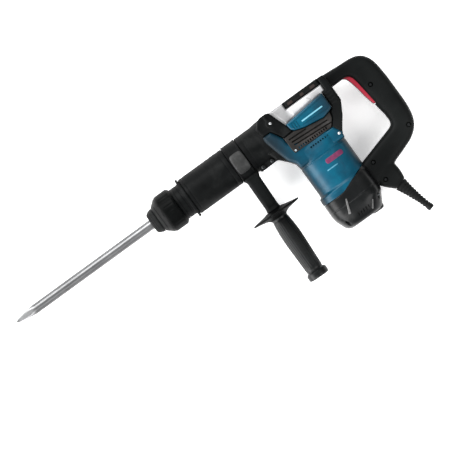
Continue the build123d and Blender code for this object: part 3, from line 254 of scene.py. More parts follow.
MAT = {
    "black": plastic("black_plastic", (0.0040, 0.0046, 0.0046), (0.0074, 0.0084, 0.0083), (0.0022, 0.0027, 0.0028), rough=(0.44, 0.58), wear=(0.020, 0.021, 0.021), spec=0.060),
    # guard disc of the side grip: a darker, duller copy of black_soft; its darker tone is painted shade
    "guard": plastic("guard_plastic", (0.0024, 0.0028, 0.0028), (0.0048, 0.0054, 0.0054), (0.0014, 0.0018, 0.0018), rough=(0.50, 0.62), grain=1300, grain_depth=0.00004, spec=0.03),
    "black_soft": plastic("black_soft", (0.0034, 0.0039, 0.0040), (0.0066, 0.0073, 0.0073), (0.0018, 0.0022, 0.0022), rough=(0.29, 0.40), grain=1300, grain_depth=0.00004, spec=0.17),
    "black_alloy": plastic("black_alloy", (0.0028, 0.0032, 0.0033), (0.0090, 0.0096, 0.0096), (0.0012, 0.0015, 0.0016), rough=(0.46, 0.60), grain=700, grain_depth=0.00006,
                           wear=(0.04, 0.04, 0.04), wear_amount=0.35, spec=0.055, cloud=26.0, rim=0.2),
    "black_gloss": plastic("black_gloss", (0.0044, 0.0050, 0.0052), (0.0090, 0.0097, 0.0099), (0.0024, 0.0029, 0.0030), rough=(0.27, 0.38), grain=900, grain_depth=0.00002,
                           wear=(0.04, 0.04, 0.04), wear_amount=0.35, spec=0.15, cloud=20.0),
    # lighter grey for the raised pad on the clamp band: a painted reflection
    "patch": plastic("band_painted_reflection", (0.020, 0.0204, 0.0204), (0.044, 0.0445, 0.0445), (0.0075, 0.0080, 0.0080), rough=(0.45, 0.62), grain=420, grain_depth=0.00014, cloud=62.0, spec=0.2, rim=0.4),
    "sleeve": plastic("sleeve_coat", (0.0015, 0.0018, 0.0018), (0.0042, 0.0046, 0.0046), (0.0007, 0.0009, 0.0009), rough=(0.38, 0.52), grain=700, grain_depth=0.00006,
                      wear=(0.03, 0.03, 0.03), wear_amount=0.3, spec=0.038, cloud=34.0, rim=0.2),
    # front cone of the locking sleeve: glossier and lighter than the sleeve coat; the lighter tone is a painted
    # highlight
    "cone": plastic("cone_gloss", (0.0026, 0.0028, 0.0028), (0.0085, 0.0085, 0.0085), (0.0009, 0.0010, 0.0010), rough=(0.38, 0.52), grain=700, grain_depth=0.00003, spec=0.072, rim=0.3, cloud=40.0),
    "brown_grey": plastic("vent_plastic", (0.0125, 0.0112, 0.0102), (0.024, 0.0205, 0.019), (0.005, 0.0046, 0.0044), rough=(0.5, 0.66), cloud=38.0, spec=0.15),
    "brown_light": plastic("notch_plastic", (0.022, 0.014, 0.012), (0.032, 0.020, 0.017), (0.012, 0.008, 0.007), rough=(0.5, 0.66)),
    # the along stations darken the blue towards the barrel neck and towards the rear of the drum: painted shade
    "blue": plastic("blue_plastic", (0.0001, 0.046, 0.081), (0.0001, 0.080, 0.132), (0.0, 0.020, 0.037), rough=(0.31, 0.38), grain=1000, grain_depth=0.00003,
                    wear=(0.008, 0.20, 0.29), wear_amount=0.3, cloud=16.0, spec=0.20, rim=0.08,
                    along=[(526, 0.10), (540, 0.22), (554, 0.52), (570, 1.0), (630, 1.0), (642, 0.80), (662, 0.52)]),
    "red": plastic("red_plastic", (0.27, 0.0125, 0.028), (0.32, 0.020, 0.040), (0.17, 0.006, 0.014), rough=(0.34, 0.48), wear=(0.42, 0.07, 0.09), wear_amount=0.4, spec=0.3, rim=0.14),
    "badge": plastic("badge_inlay", (0.125, 0.014, 0.058), (0.17, 0.022, 0.080), (0.075, 0.012, 0.045), rough=(0.35, 0.5), spec=0.35, cloud=120.0),
    "rubber": plastic("rubber", (0.0038, 0.0042, 0.0042), (0.0070, 0.0074, 0.0074), (0.0022, 0.0026, 0.0026), rough=(0.5, 0.7), grain=1600, grain_depth=0.00005, spec=0.11,
                      wear=(0.016, 0.016, 0.016)),
    # the along stations paint the ground point lighter, a painted highlight; the tone also drops at the very end and
    # rises slowly towards the holder
    "chisel": metal("chisel_steel", (0.175, 0.177, 0.179), (0.115, 0.117, 0.120), rough=(0.27, 0.38), grain_scale=(9, 380, 380), grain_depth=0.000012, stain=(0.10, 0.095, 0.09), stain_amount=0.4, rim=0.16, metallic=0.75,
                    along=[(0, 0.45), (3, 0.80), (8, 1.45), (33, 1.45), (41, 0.80), (200, 0.95), (300, 1.1)]),
    "dark_steel": metal("phosphated_steel", (0.035, 0.036, 0.038), (0.02, 0.021, 0.022), rough=(0.35, 0.5), grain_scale=(300, 300, 300), stain=(0.08, 0.08, 0.08)),
    "steel": metal("machined_steel", (0.55, 0.56, 0.58), (0.38, 0.39, 0.41), rough=(0.25, 0.4), grain_scale=(300, 300, 300)),
    # the along stations paint the middle of the gear case lighter and its front and rear darker: painted highlight and
    # painted shade
    "alloy": metal("cast_alloy", (0.74, 0.74, 0.75), (0.62, 0.62, 0.63), rough=(0.38, 0.52), grain_scale=(620, 620, 620), grain_depth=0.00008, stain=(0.30, 0.30, 0.30), stain_amount=0.3,
                   metallic=0.5, cloud=45.0, along=[(560, 0.40), (591, 0.44), (598, 0.86), (632, 0.92), (648, 0.62), (675, 0.66)]),
    "screw": metal("screw_steel", (0.55, 0.56, 0.57), (0.42, 0.43, 0.44), rough=(0.25, 0.38), grain_scale=(500, 500, 500), metallic=0.35, rim=0.4),
    "spring": metal("spring_steel", (0.40, 0.41, 0.43), (0.25, 0.26, 0.27), rough=(0.25, 0.4)),
    "copper": metal("copper", (0.72, 0.34, 0.18), (0.52, 0.22, 0.10), rough=(0.25, 0.4), grain_scale=(200, 900, 200)),
    "brass": metal("brass", (0.72, 0.55, 0.25), (0.55, 0.40, 0.16), rough=(0.25, 0.4), grain_scale=(300, 300, 300)),
    "pale": plastic("pale_inlay", (0.14, 0.36, 0.45), (0.20, 0.44, 0.54), (0.09, 0.28, 0.36), rough=(0.35, 0.5), rim=0.5),
    "pale_dim": plastic("pale_print", (0.06, 0.21, 0.29), (0.13, 0.33, 0.42), (0.02, 0.12, 0.18), rough=(0.35, 0.5), rim=0.5, cloud=160.0),
    # light grey on the cap's slanting ridges: a painted highlight
    "ridge": plastic("ridge_painted_highlight", (0.10, 0.10, 0.099), (0.17, 0.17, 0.17), (0.035, 0.035, 0.035), rough=(0.28, 0.4), spec=0.5, rim=0.4, cloud=70.0),
    "screw_mid": metal("screw_mid", (0.42, 0.47, 0.50), (0.30, 0.34, 0.37), rough=(0.25, 0.38), grain_scale=(500, 500, 500), metallic=0.4, rim=0.4),
    "screw_dark": metal("screw_dark", (0.055, 0.058, 0.06), (0.03, 0.032, 0.034), rough=(0.3, 0.45), grain_scale=(500, 500, 500), stain=(0.1, 0.1, 0.1)),
    "carbon": plastic("carbon", (0.02, 0.02, 0.02), (0.035, 0.035, 0.035), (0.012, 0.012, 0.012), rough=(0.6, 0.8)),
}

SLOT_MAT = {
    "chisel_steel": "chisel", "machined_steel": "steel", "spring_steel": "spring", "screw_steel": "screw", "laminated_steel": "steel",
    "light_alloy": "alloy", "cast_aluminium": "alloy", "black_alloy": "black_alloy", "sleeve_plastic": "black_gloss", "black_rubber": "rubber",
    "blue_plastic": "blue", "black_plastic": "black", "red_plastic": "red", "copper": "copper", "brass": "brass", "carbon": "carbon",
}
NODE_MAT = {"tool_holder": "dark_steel", "front_ring": "black_alloy"}
slot_of = {s["node"]: s.get("material_slot", s["node"]) for s in frame["record"]["subparts"]}
for name, obj in frame["nodes"].items():
    obj.data.materials.clear()
    obj.data.materials.append(MAT[NODE_MAT.get(name, SLOT_MAT[slot_of[name]])])
    for poly in obj.data.polygons:
        poly.material_index = 0

# ================================================================== mesh tools
def link(me, name, mat, smooth=True, sharp=38.0):
    ob = bpy.data.objects.new(name, me)
    bpy.context.scene.collection.objects.link(ob)
    if mat is not None:
        me.materials.append(MAT[mat])
    if smooth:
        me.polygons.foreach_set("use_smooth", [True] * len(me.polygons))
        me.set_sharp_from_angle(angle=math.radians(sharp))
    return ob


def from_bm(bm, name, mat, smooth=True, sharp=38.0):
    bmesh.ops.recalc_face_normals(bm, faces=bm.faces)
    if bm.calc_volume(signed=True) < 0:
        bmesh.ops.reverse_faces(bm, faces=bm.faces)
    me = bpy.data.meshes.new(name)
    bm.to_mesh(me)
    bm.free()
    return link(me, name, mat, smooth, sharp)


def soften(points, radius, steps=3, closed=False):
    """Rounds the corners of a polyline of (a, b) points. radius is one number or one per point."""
    n = len(points)
    radii = [radius] * n if isinstance(radius, (int, float)) else list(radius)
    out = []
    for i, p in enumerate(points):
        if not closed and i in (0, n - 1):
            out.append(tuple(p))
            continue
        a, b, c = Vector(points[i - 1]), Vector(p), Vector(points[(i + 1) % n])
        d1, d2 = a - b, c - b
        l1, l2 = d1.length, d2.length
        if radii[i] <= 0 or l1 < 1e-6 or l2 < 1e-6:
            out.append(tuple(p))
            continue
        ang = d1.angle(d2)
        if ang > math.radians(176):
            out.append(tuple(p))
            continue
        cut = min(radii[i] / math.tan(ang / 2), 0.46 * l1, 0.46 * l2)
        s, e = b + d1 / l1 * cut, b + d2 / l2 * cut
        for k in range(steps + 1):
            t = k / steps
            out.append(tuple(s * (1 - t) ** 2 + b * 2 * t * (1 - t) + e * t ** 2))
    return out


def lathe(name, profile, origin, axis, mat, segs=96, ref=(0, 0, 1), shape=None, sharp=38.0):
    """Turns (along, radius) points in mm about an axis. shape(along, angle, radius) may vary the radius."""
    axis = Vector(axis).normalized()
    x = Vector(ref)
    if abs(x.normalized().dot(axis)) > 0.98:
        x = Vector((1, 0, 0))
    x = (x - axis * x.dot(axis)).normalized()
    y = axis.cross(x)
    bm = bmesh.new()
    rings = []
    for a, r in profile:
        if r < 1e-6:
            rings.append([bm.verts.new(origin + axis * mm(a))])
            continue
        ring = []
        for k in range(segs):
            t = 2 * math.pi * k / segs
            rr = shape(a, t, r) if shape else r
            ring.append(bm.verts.new(origin + axis * mm(a) + (x * math.cos(t) + y * math.sin(t)) * mm(rr)))
        rings.append(ring)
    for p, q in zip(rings, rings[1:]):
        if len(p) == 1 and len(q) == 1:
            continue
        for k in range(segs):
            m = (k + 1) % segs
            if len(p) == 1:
                bm.faces.new((p[0], q[k], q[m]))
            elif len(q) == 1:
                bm.faces.new((p[k], q[0], p[m]))
            else:
                bm.faces.new((p[k], q[k], q[m], p[m]))
    if len(rings[0]) > 1 and len(rings[-1]) > 1 and profile[0] == profile[-1]:
        bmesh.ops.remove_doubles(bm, verts=bm.verts, dist=1e-7)
    return from_bm(bm, name, mat, sharp=sharp)


def loft(name, rings, mat, cap=True, closed=True, sharp=38.0):
    """Quads between rings of points (already in metres)."""
    bm = bmesh.new()
    rows = [[bm.verts.new(p) for p in ring] for ring in rings]
    n = len(rows[0])
    for p, q in zip(rows, rows[1:]):
        for k in range(n if closed else n - 1):
            m = (k + 1) % n
            bm.faces.new((p[k], q[k], q[m], p[m]))
    if cap and closed:
        bm.faces.new(rows[0])
        bm.faces.new(rows[-1])
    return from_bm(bm, name, mat, sharp=sharp)


def squircle(centre, ax, ay, a, b, n=2.0, count=64):
    """Superellipse ring: half sizes a and b in mm along the unit vectors ax and ay."""
    pts = []
    for k in range(count):
        t = 2 * math.pi * k / count
        c, s = math.cos(t), math.sin(t)
        pts.append(centre + ax * mm(a * math.copysign(abs(c) ** (2 / n), c)) + ay * mm(b * math.copysign(abs(s) ** (2 / n), s)))
    return pts


def inset_outline(points, inset):
    """Mitred inset of a closed counter-clockwise outline."""
    out = []
    n = len(points)
    for i in range(n):
        p, q, r = Vector(points[i - 1]), Vector(points[i]), Vector(points[(i + 1) % n])
        e1, e2 = (q - p).normalized(), (r - q).normalized()
        n1, n2 = Vector((-e1.y, e1.x)), Vector((-e2.y, e2.x))
        m = n1 + n2
        m = m.normalized() if m.length > 1e-6 else n1
        out.append(q + m * (inset / max(0.5, m.dot(n1))))
    return out


def plate(name, outline, w0, w1, mat, bevel=1.0, segs=3, corner=0.0, steps=4, sharp=38.0, radii=None):
    """A flat piece with rounded rims: outline in (u, v) mm, between two heights w. The rim radius goes inward."""
    base = [tuple(p) for p in outline]
    radii = list(radii) if radii else [corner] * len(base)
    area2 = sum(base[i - 1][0] * base[i][1] - base[i][0] * base[i - 1][1] for i in range(len(base)))
    if area2 < 0:
        base, radii = base[::-1], radii[::-1]
    n = len(base)
    turn = []
    for i in range(n):
        p, q, r = base[i - 1], base[i], base[(i + 1) % n]
        turn.append((q[0] - p[0]) * (r[1] - q[1]) - (q[1] - p[1]) * (r[0] - q[0]))
    radii = [max(r, 0.05) for r in radii]
    lo, hi = min(w0, w1), max(w0, w1)
    bm = bmesh.new()
    levels = []
    for k in range(segs + 1):
        t = math.pi / 2 * k / segs
        levels.append((bevel * (1 - math.sin(t)), lo + bevel * (1 - math.cos(t))))
    for k in range(segs + 1):
        t = math.pi / 2 * (1 - k / segs)
        levels.append((bevel * (1 - math.sin(t)), hi - bevel * (1 - math.cos(t))))
    rows = []
    for inset, w in levels:
        grown = [max(0.04, r - inset) if c > 0 else r + inset for r, c in zip(radii, turn)]
        ring = soften(inset_outline(base, inset), grown, steps, closed=True)
        rows.append([bm.verts.new(P(p[0], p[1], w)) for p in ring])
    m_ = min(len(r) for r in rows)
    assert all(len(r) == m_ for r in rows), name
    for p, q in zip(rows, rows[1:]):
        for k in range(m_):
            m = (k + 1) % m_
            bm.faces.new((p[k], q[k], q[m], p[m]))
    bm.faces.new(rows[0])
    bm.faces.new(rows[-1])
    bmesh.ops.triangulate(bm, faces=[f for f in bm.faces if len(f.verts) > 4], ngon_method="EAR_CLIP")
    return from_bm(bm, name, mat, sharp=sharp)


def evaluated(ob):
    dg = bpy.context.evaluated_depsgraph_get()
    dg.update()
    return bpy.data.meshes.new_from_object(ob.evaluated_get(dg))


def bake(ob):
    """Applies an object's modifiers."""
    me = evaluated(ob)
    ob.modifiers.clear()
    old = ob.data
    ob.data = me
    bpy.data.meshes.remove(old)
    return ob


def drop(*obs):
    for o in obs:
        me = o.data
        bpy.data.objects.remove(o)
        if me.users == 0:
            bpy.data.meshes.remove(me)


def join(name, obs, mat, sharp=38.0):
    bm = bmesh.new()
    for o in obs:
        bm.from_mesh(o.data)
    drop(*obs)
    return from_bm(bm, name, mat, sharp=sharp)


def fuse(name, obs, mat, voxel=0.9, smooth=4, factor=0.5, sharp=32.0):
    """Welds overlapping solids into one moulded skin with soft inner corners."""
    bm = bmesh.new()
    for o in obs:
        bm.from_mesh(o.data)
    drop(*obs)
    ob = from_bm(bm, name, mat)
    m = ob.modifiers.new("weld", "REMESH")
    m.mode = "VOXEL"
    m.voxel_size = mm(voxel)
    m.use_smooth_shade = True
    s = ob.modifiers.new("ease", "SMOOTH")
    s.factor = factor
    s.iterations = smooth
    bake(ob)
    ob.data.polygons.foreach_set("use_smooth", [True] * len(ob.data.polygons))
    return ob


def cut(ob, cutters, sharp=38.0, solver="EXACT"):
    """Takes the cutters out of a closed mesh."""
    for c in cutters:
        m = ob.modifiers.new("cut", "BOOLEAN")
        m.operation = "DIFFERENCE"
        m.solver = solver
        m.object = c
    bake(ob)
    drop(*cutters)
    me = ob.data
    me.polygons.foreach_set("use_smooth", [True] * len(me.polygons))
    me.set_sharp_from_angle(angle=math.radians(sharp))
    return ob


def rounded_box(name, u0, v0, u1, v1, w0, w1, mat, bevel=0.8, corner=1.5):
    return plate(name, [(u0, v0), (u1, v0), (u1, v1), (u0, v1)], w0, w1, mat, bevel=bevel, corner=corner)


def wear(ob, body, *nodes, slot=None):
    """The piece rides on a body and stands for CAD nodes."""
    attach(ob, body)
    if nodes:
        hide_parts(*nodes)
    return ob


AX_U, AX_V, AX_W = Vector((1, 0, 0)), Vector((0, -1, 0)), Vector((0, 0, 1))

# ================================================================== chisel
def chisel_ring(u, half, n):
    return squircle(P(u, 0), Vector((0, 1, 0)), AX_W, half, half, n, 96)


tip = [(0.0, 1.2, 2.4), (0.4, 1.9, 3.2), (1.2, 2.4, 4.2), (3.0, 2.85, 5.2), (6, 3.5, 6.0), (10, 4.3, 6.4), (15, 5.25, 6.0), (20, 6.2, 5.4), (25, 7.1, 4.6),
       (29, 7.8, 3.8), (32, 8.3, 3.2), (35, 8.72, 2.6), (37.5, 8.95, 2.2), (40, 9.0, 2.0)]
rings = [chisel_ring(u, h, n) for u, h, n in tip]
for u in (60, 90, 120, 150, 180, 210, 240, 270, 300, 330, 360, 390, 397.8):
    rings.append(chisel_ring(u, 9.0, 2.0))
rings.append(chisel_ring(399.2, 8.5, 2.0))
rings.append(chisel_ring(400.0, 7.6, 2.0))
chisel = loft("chisel_bar", rings, "chisel", sharp=30)
wear(chisel, "chisel", "chisel", slot="chisel_steel")

# ================================================================== tool holder end
def about_barrel(name, profile, mat, soft=0.5, **kw):
    return lathe(name, soften([(u, r) for u, r in profile], soft), P(0, 0), AX_U, mat, **kw)


cap = about_barrel("dust_boot", [(290.0, 9.5), (289.5, 10.4), (289.4, 13.2), (290.0, 17.4), (292.6, 20.0), (293.6, 19.6), (294.2, 20.9), (296.2, 22.0), (297.0, 21.5), (297.8, 22.5),
                                 (300.8, 23.4), (302.8, 23.5), (303.2, 23.1), (303.2, 20.6), (304.2, 20.6), (304.2, 18.4), (301.5, 18.2), (301.5, 14.3), (294.3, 14.3), (294.2, 9.5), (290.0, 9.5)], "rubber", soft=0.45, segs=128)
wear(cap, "housing", "dust_cap", slot="black_rubber")


def flutes(u, t, r):
    if 321.5 < u < 342.5:
        k = max(0.0, math.sin(math.pi * (u - 321.5) / 21.0)) ** 0.5
        g = max(0.0, math.cos(24 * t)) ** 3
        return r - 0.5 * k * g
    return r


prof = soften([(304.9, 17.6), (304.9, 21.1), (303.5, 21.1), (303.5, 22.8), (303.55, 23.5), (304.5, 24.5), (306.0, 25.6), (315.8, 33.6), (317.0, 33.8), (318.4, 35.2), (320.6, 35.9)], 0.5)
prof += [(321.5 + 21.0 * k / 28, 35.95) for k in range(29)]
prof += soften([(342.6, 35.9), (343.6, 35.4), (344.4, 34.5), (345.0, 34.4), (347.25, 32.0), (347.3, 31.2), (338.2, 31.2)], 0.4)
prof += [(338.2, 26.2), (336.2, 26.0), (336.2, 17.6), (333.8, 17.6), (325.8, 21.4), (317.2, 21.4), (317.2, 17.6), (304.9, 17.6)]
sleeve = lathe("sleeve_shell", prof, P(0, 0), AX_U, "sleeve", segs=288, shape=flutes, sharp=30)
cone = lathe("sleeve_cone", [(304.8, 24.0)] + soften([(304.7, 24.75), (305.6, 25.6), (309.2, 28.65), (309.6, 28.45), (310.2, 28.95), (310.6, 29.8), (315.4, 33.9), (316.6, 33.9)], 0.25) + [(316.6, 33.0), (304.8, 24.0)],
             P(0, 0), AX_U, "cone", segs=144, sharp=30)
wear(cone, "locking_sleeve")
wear(sleeve, "locking_sleeve", "locking_sleeve", slot="sleeve_plastic")

def smooth(x):
    return x * x * (3 - 2 * x)


def collar_lugs(u, t, r):
    if r > 36.0:
        return 36.0 + (r - 36.0) * (0.22 + 0.78 * smooth(min(1.0, max(0.0, (abs(math.sin(t)) - 0.80) / 0.19))))
    return r


ring = about_barrel("front_collar", [(346.8, 24.6), (346.8, 29.4), (347.6, 30.5), (351.6, 30.5), (352.0, 29.9), (352.8, 29.9), (353.2, 30.5), (360.0, 30.5), (360.4, 29.9), (361.2, 29.9),
                                     (361.6, 30.5), (364.4, 30.6), (365.3, 31.4), (365.3, 37.2), (366.4, 38.5), (368.4, 38.5), (369.7, 37.2), (369.7, 33.0), (370.7, 33.0), (370.7, 24.6), (346.8, 24.6)],
                    "black_alloy", soft=0.4, segs=160, shape=collar_lugs)
wear(ring, "housing", "front_ring", slot="black_alloy")

# ================================================================== barrel housing
barrel_profile = [(370.0, 22.0), (370.0, 33.6), (371.4, 35.3), (374.0, 35.5), (376.4, 35.5), (376.9, 34.9), (378.1, 34.9), (378.6, 35.5), (452.0, 35.5), (452.5, 34.9), (453.7, 34.9), (454.2, 35.5),
                  (460.6, 35.5), (461.9, 34.7), (462.1, 32.65), (490.4, 32.65), (490.6, 34.9), (491.8, 36.0), (499.0, 36.0), (499.5, 35.5), (500.6, 35.5), (501.1, 36.0), (524, 36.0), (534, 37.1),
                  (544, 37.9), (552, 38.15), (560.9, 38.0), (560.9, 24.0), (370.0, 22.0)]
barrel = about_barrel("barrel_skin", barrel_profile, None, soft=0.5, segs=144)
flange_outline = [(531, -24), (541.5, -36.6), (549, -38.9), (560.5, -38.9), (566.2, -36.8), (578.3, -1.6), (582.8, 13.4), (562.2, 14.4), (555.8, 2.2), (549.6, -8.0), (534, -8.0)]
flange = plate("flange", flange_outline, -42, 42, None, bevel=3.4, segs=5, corner=3.0)
pad = plate("pad", [(497.6, 18), (497.6, 38.2), (499.6, 39.3), (530.6, 38.6), (531, 18)], -20, 20, None, bevel=1.6, segs=3, corner=1.4)
chin = plate("chin", [(524, 20), (530.4, 38.4), (534.4, 39.8), (545.8, 52.6), (549.4, 54.6), (551, 40), (547, 20)], -34.0, 34.0, None, bevel=5.0, segs=5, corner=1.5)
BORE_R = 25.0
dimples = [rounded_box("pd", u0, 36.9, u0 + 2.6, 42.0, -16, 16, None, bevel=0.4, corner=0.6) for u0 in (507.5, 512.5, 517.5)]
boss = [lathe("boss", soften([(0, 0), (0, 7.6), (2.6, 7.0), (2.6, 0)], 0.8), P(557.5, -20, s * 40.6), (0, 0, s), None, segs=48) for s in (1, -1)]
streak = [plate("streak", [(553.6, -36.5), (558.6, -36.5), (560.2, -22), (554.6, -22)], s * 38, s * 43.2, None, bevel=1.2, corner=1.0) for s in (1, -1)]
shell = fuse("barrel_shell", [barrel, flange, pad, chin, *boss, *streak], "black_alloy", voxel=0.75, smooth=3)
bore = lathe("bore", [(366, 0), (366, 33.3), (371.1, 33.3), (371.1, BORE_R), (592, BORE_R), (592, 0)], P(0, 0), AX_U, None, segs=96)
shell = cut(shell, [*dimples, bore])
wear(shell, "housing", "barrel_housing", slot="black_alloy")

# clamp band of the side handle, and its tension bridge: a raised pad whose lighter grey is a painted reflection
band_profile = [(462.6, 33.0), (462.6, 36.4), (463.4, 37.0), (464.8, 37.0), (465.5, 36.5), (487.2, 36.5), (487.9, 37.0), (489.2, 37.0), (490.0, 36.4), (490.0, 33.0), (462.6, 33.0)]
band = about_barrel("band_ring", band_profile, "black_alloy", soft=0.4, segs=144)
patch = []
for k in range(41):
    z = -1 + 2 * k / 40
    t = math.radians(6.5 + 31.5 * z)
    half = 12.6 * (1 - abs(z) ** 4.5) ** (1 / 4.5) + 0.05
    ring_pts = []
    for du, dr in ((-1.0, -1.6), (-1.0, 0.0), (-0.94, 0.55), (-0.80, 0.85), (-0.4, 0.95), (0.4, 0.95), (0.80, 0.85), (0.94, 0.55), (1.0, 0.0), (1.0, -1.6)):
        r = 36.75 + dr * min(1.0, half / 3.0)
        ring_pts.append(P(476.4 + du * half, r * math.sin(t), r * math.cos(t)))
    patch.append(ring_pts)
# the pad takes the lighter grey of a painted reflection
painted_reflection_pad = loft("band_pad", patch, "patch", sharp=30)
wear(band, "side_handle", "clamp_band", slot="black_alloy")
wear(painted_reflection_pad, "side_handle")

# ================================================================== side handle
GRIP_TILT, GRIP_U = 0.0265, 479.35
g_axis = Vector((-GRIP_TILT, -1, 0)).normalized()
g_side = Vector((1, -GRIP_TILT, 0)).normalized()
g_at = P(GRIP_U, 0)


def stem_ring(s, a, b, n, du=0.0):
    return squircle(g_at + g_axis * mm(s) + g_side * mm(du), g_side, AX_W, a, b, n, 72)


stem_rows = [stem_ring(s, a, b, n, du) for s, a, b, n, du in (
    (22, 14.4, 16, 6, 0.0), (37.2, 14.4, 16, 6, 0.0), (38.8, 13.8, 16, 5.5, 0), (40.6, 12.9, 15.9, 5, 0), (43.5, 12.5, 15.8, 4.5, 0), (49, 12.4, 15.6, 4.5, 0), (60, 12.3, 15.4, 4.5, 0),
    (78, 12.2, 15.2, 4.5, 0), (96, 12.0, 15.2, 4.5, 0), (100.5, 12.4, 15.6, 4.2, 0), (103.4, 13.2, 16.2, 4, 0), (103.7, 13.0, 16.0, 4, 0))]
stem = loft("stem_body", stem_rows, None, sharp=30)
saddle = lathe("saddle", [(450, 0), (450, 36.95), (510, 36.95), (510, 0)], P(0, 0), AX_U, None, segs=144)
stem.data.materials.append(MAT["black"])
stem = cut(stem, [saddle])
wear(stem, "side_handle", "grip_stem", slot="black_plastic")
spigot = lathe("stem_spigot", [(103.6, 4.25), (103.6, 12.4), (104.95, 12.4), (104.95, 4.25), (103.6, 4.25)], g_at, g_axis, "black", segs=96)
wear(spigot, "side_handle")
for k, sgn in enumerate((1, -1)):
    web = plate("web", [(470.5, 50), (483.5, 50), (482.6, 97), (469.2, 97)], sgn * 14.6, sgn * 15.9, "black", bevel=0.7, corner=2.5)
    web.name = f"stem_panel_{k}"
    wear(web, "side_handle")


def oval_guard(s, t, r):
    # t is measured from w, so the short half size lies along the barrel
    if r > 17.5:
        a, b = 46.5 / 51.5, 1.0
        k = 1 / math.sqrt((math.sin(t) / a) ** 2 + (math.cos(t) / b) ** 2)
        return 17.5 + (r * k - 17.5) if r > 30 else r * (1 + (k - 1) * (r - 17.5) / 12.5)
    return r


guard_prof = soften([(104.05, 12.75), (104.1, 17.0), (105.3, 19.5), (106.2, 26), (107.6, 36), (108.9, 45), (109.4, 49.6), (109.9, 51.2), (111.1, 51.5), (112.2, 51.0), (113.0, 49.0), (113.6, 44), (115.0, 34),
                     (116.4, 25), (117.9, 19.2), (120.6, 15.6)], 0.8)


def grip_shape(s, t, r):
    r = oval_guard(s, t, r)
    if 128 < s < 226:
        k = min(1.0, (s - 128) / 5.0, (226 - s) / 5.0)
        r -= 0.55 * k * (0.5 + 0.5 * math.cos(26 * t)) ** 3
    return r


grip_prof = guard_prof + [(121.4, 15.2), (123, 14.9), (124.4, 14.75), (125.4, 14.9), (126.2, 15.4)]
for k in range(53):
    s_ = 127.0 + 100.0 * k / 52
    base = np.interp(s_, [127, 132, 140, 147, 156, 165, 175, 185, 195, 205, 214, 222, 227], [15.4, 15.8, 16.6, 17.2, 17.5, 17.6, 17.4, 17.1, 16.75, 16.4, 16.1, 15.9, 15.8])
    ringy = 0.35 * math.exp(-((s_ - 176.5) / 0.9) ** 2) * 0
    grip_prof.append((s_, float(base) - ringy))
grip_prof += soften([(228.2, 15.7), (229.2, 15.2), (230.6, 15.2), (231.4, 16.6), (232.8, 18.4), (234.4, 19.8), (236.5, 20.0), (241.8, 20.0), (244.4, 19.2), (245.8, 16.5), (246.05, 12.5), (245.2, 11.8), (244.9, 0)], 0.7)
grip_piece = lathe("grip_body", [(150.5, 0), (150.5, 4.1), (105.35, 4.1), (105.35, 12.75)] + grip_prof, g_at, g_axis, "black_soft", segs=208, shape=grip_shape, ref=(0, 0, 1), sharp=52)
# the guard disc of the same moulding takes the darker copy: painted shade
grip_piece.data.materials.append(MAT["guard"])
for poly in grip_piece.data.polygons:
    if (poly.center - g_at).dot(g_axis) * 1000 < 120.5:
        poly.material_index = 1
wear(grip_piece, "side_grip", "side_grip", slot="black_plastic")

# ================================================================== gear housing (bare alloy) and its covers
GH = [(560.9, -36.4), (594.5, -36.4), (594.5, -24.0), (668.7, -24.0), (668.7, 26), (660, 46.6), (560.9, 46.6)]
gear_case = plate("gear_case", GH, -38, 38, None, bevel=3.2, segs=5, corner=1.2)
ridges = []
for s in (1, -1):
    ridges.append(plate("r", [(571.5, -34), (593.0, -34), (593.0, -22.4), (667.6, -22.4), (666.2, -12.6), (630, -9.2), (581.5, -4.6)], s * 36, s * 39.1, None, bevel=1.0, segs=3, corner=1.6))
    ridges.append(plate("r", [(597.5, -20.6), (634, -20.6), (640.6, -12.2), (600.0, -8.6)], s * 36, s * 40.0, None, bevel=0.9, segs=3, corner=1.8))
case = fuse("gear_case_skin", [gear_case, *ridges], "alloy", voxel=0.7, smooth=2)
wear(case, "housing", "gear_housing", slot="cast_aluminium")

top = plate("top_strip", [(594.8, -36.6), (668.6, -36.6), (668.6, -24.2), (594.8, -24.2)], -37, 37, None, bevel=4.5, segs=6, corner=0.8)
notches = [rounded_box("n", u0, -38.5, u1, -33.2, -26, 26, None, bevel=0.5, corner=0.8) for u0, u1 in ((598, 600.6), (604, 611), (615, 622), (626, 633), (637, 644), (648, 655))]
notches += [rounded_box("n", u0, -32.5, u1, -26.5, s * 34.6, s * 44, None, bevel=0.6, corner=0.9) for s in (1, -1) for u0, u1 in ((601.5, 612.5), (628, 636), (649, 660))]
top.data.materials.append(MAT["black"])
top = cut(top, notches)
wear(top, "housing", "top_cover", slot="black_plastic")
for s in (1, -1):
    for k, (u0, u1) in enumerate(((601.9, 612.1), (628.4, 635.6), (649.4, 659.6))):
        wear(rounded_box(f"top_inlay_{k}_{s + 1}", u0, -32.1, u1, -26.9, s * 34.0, s * 36.4, "brown_light", bevel=0.5, corner=0.8), "housing")

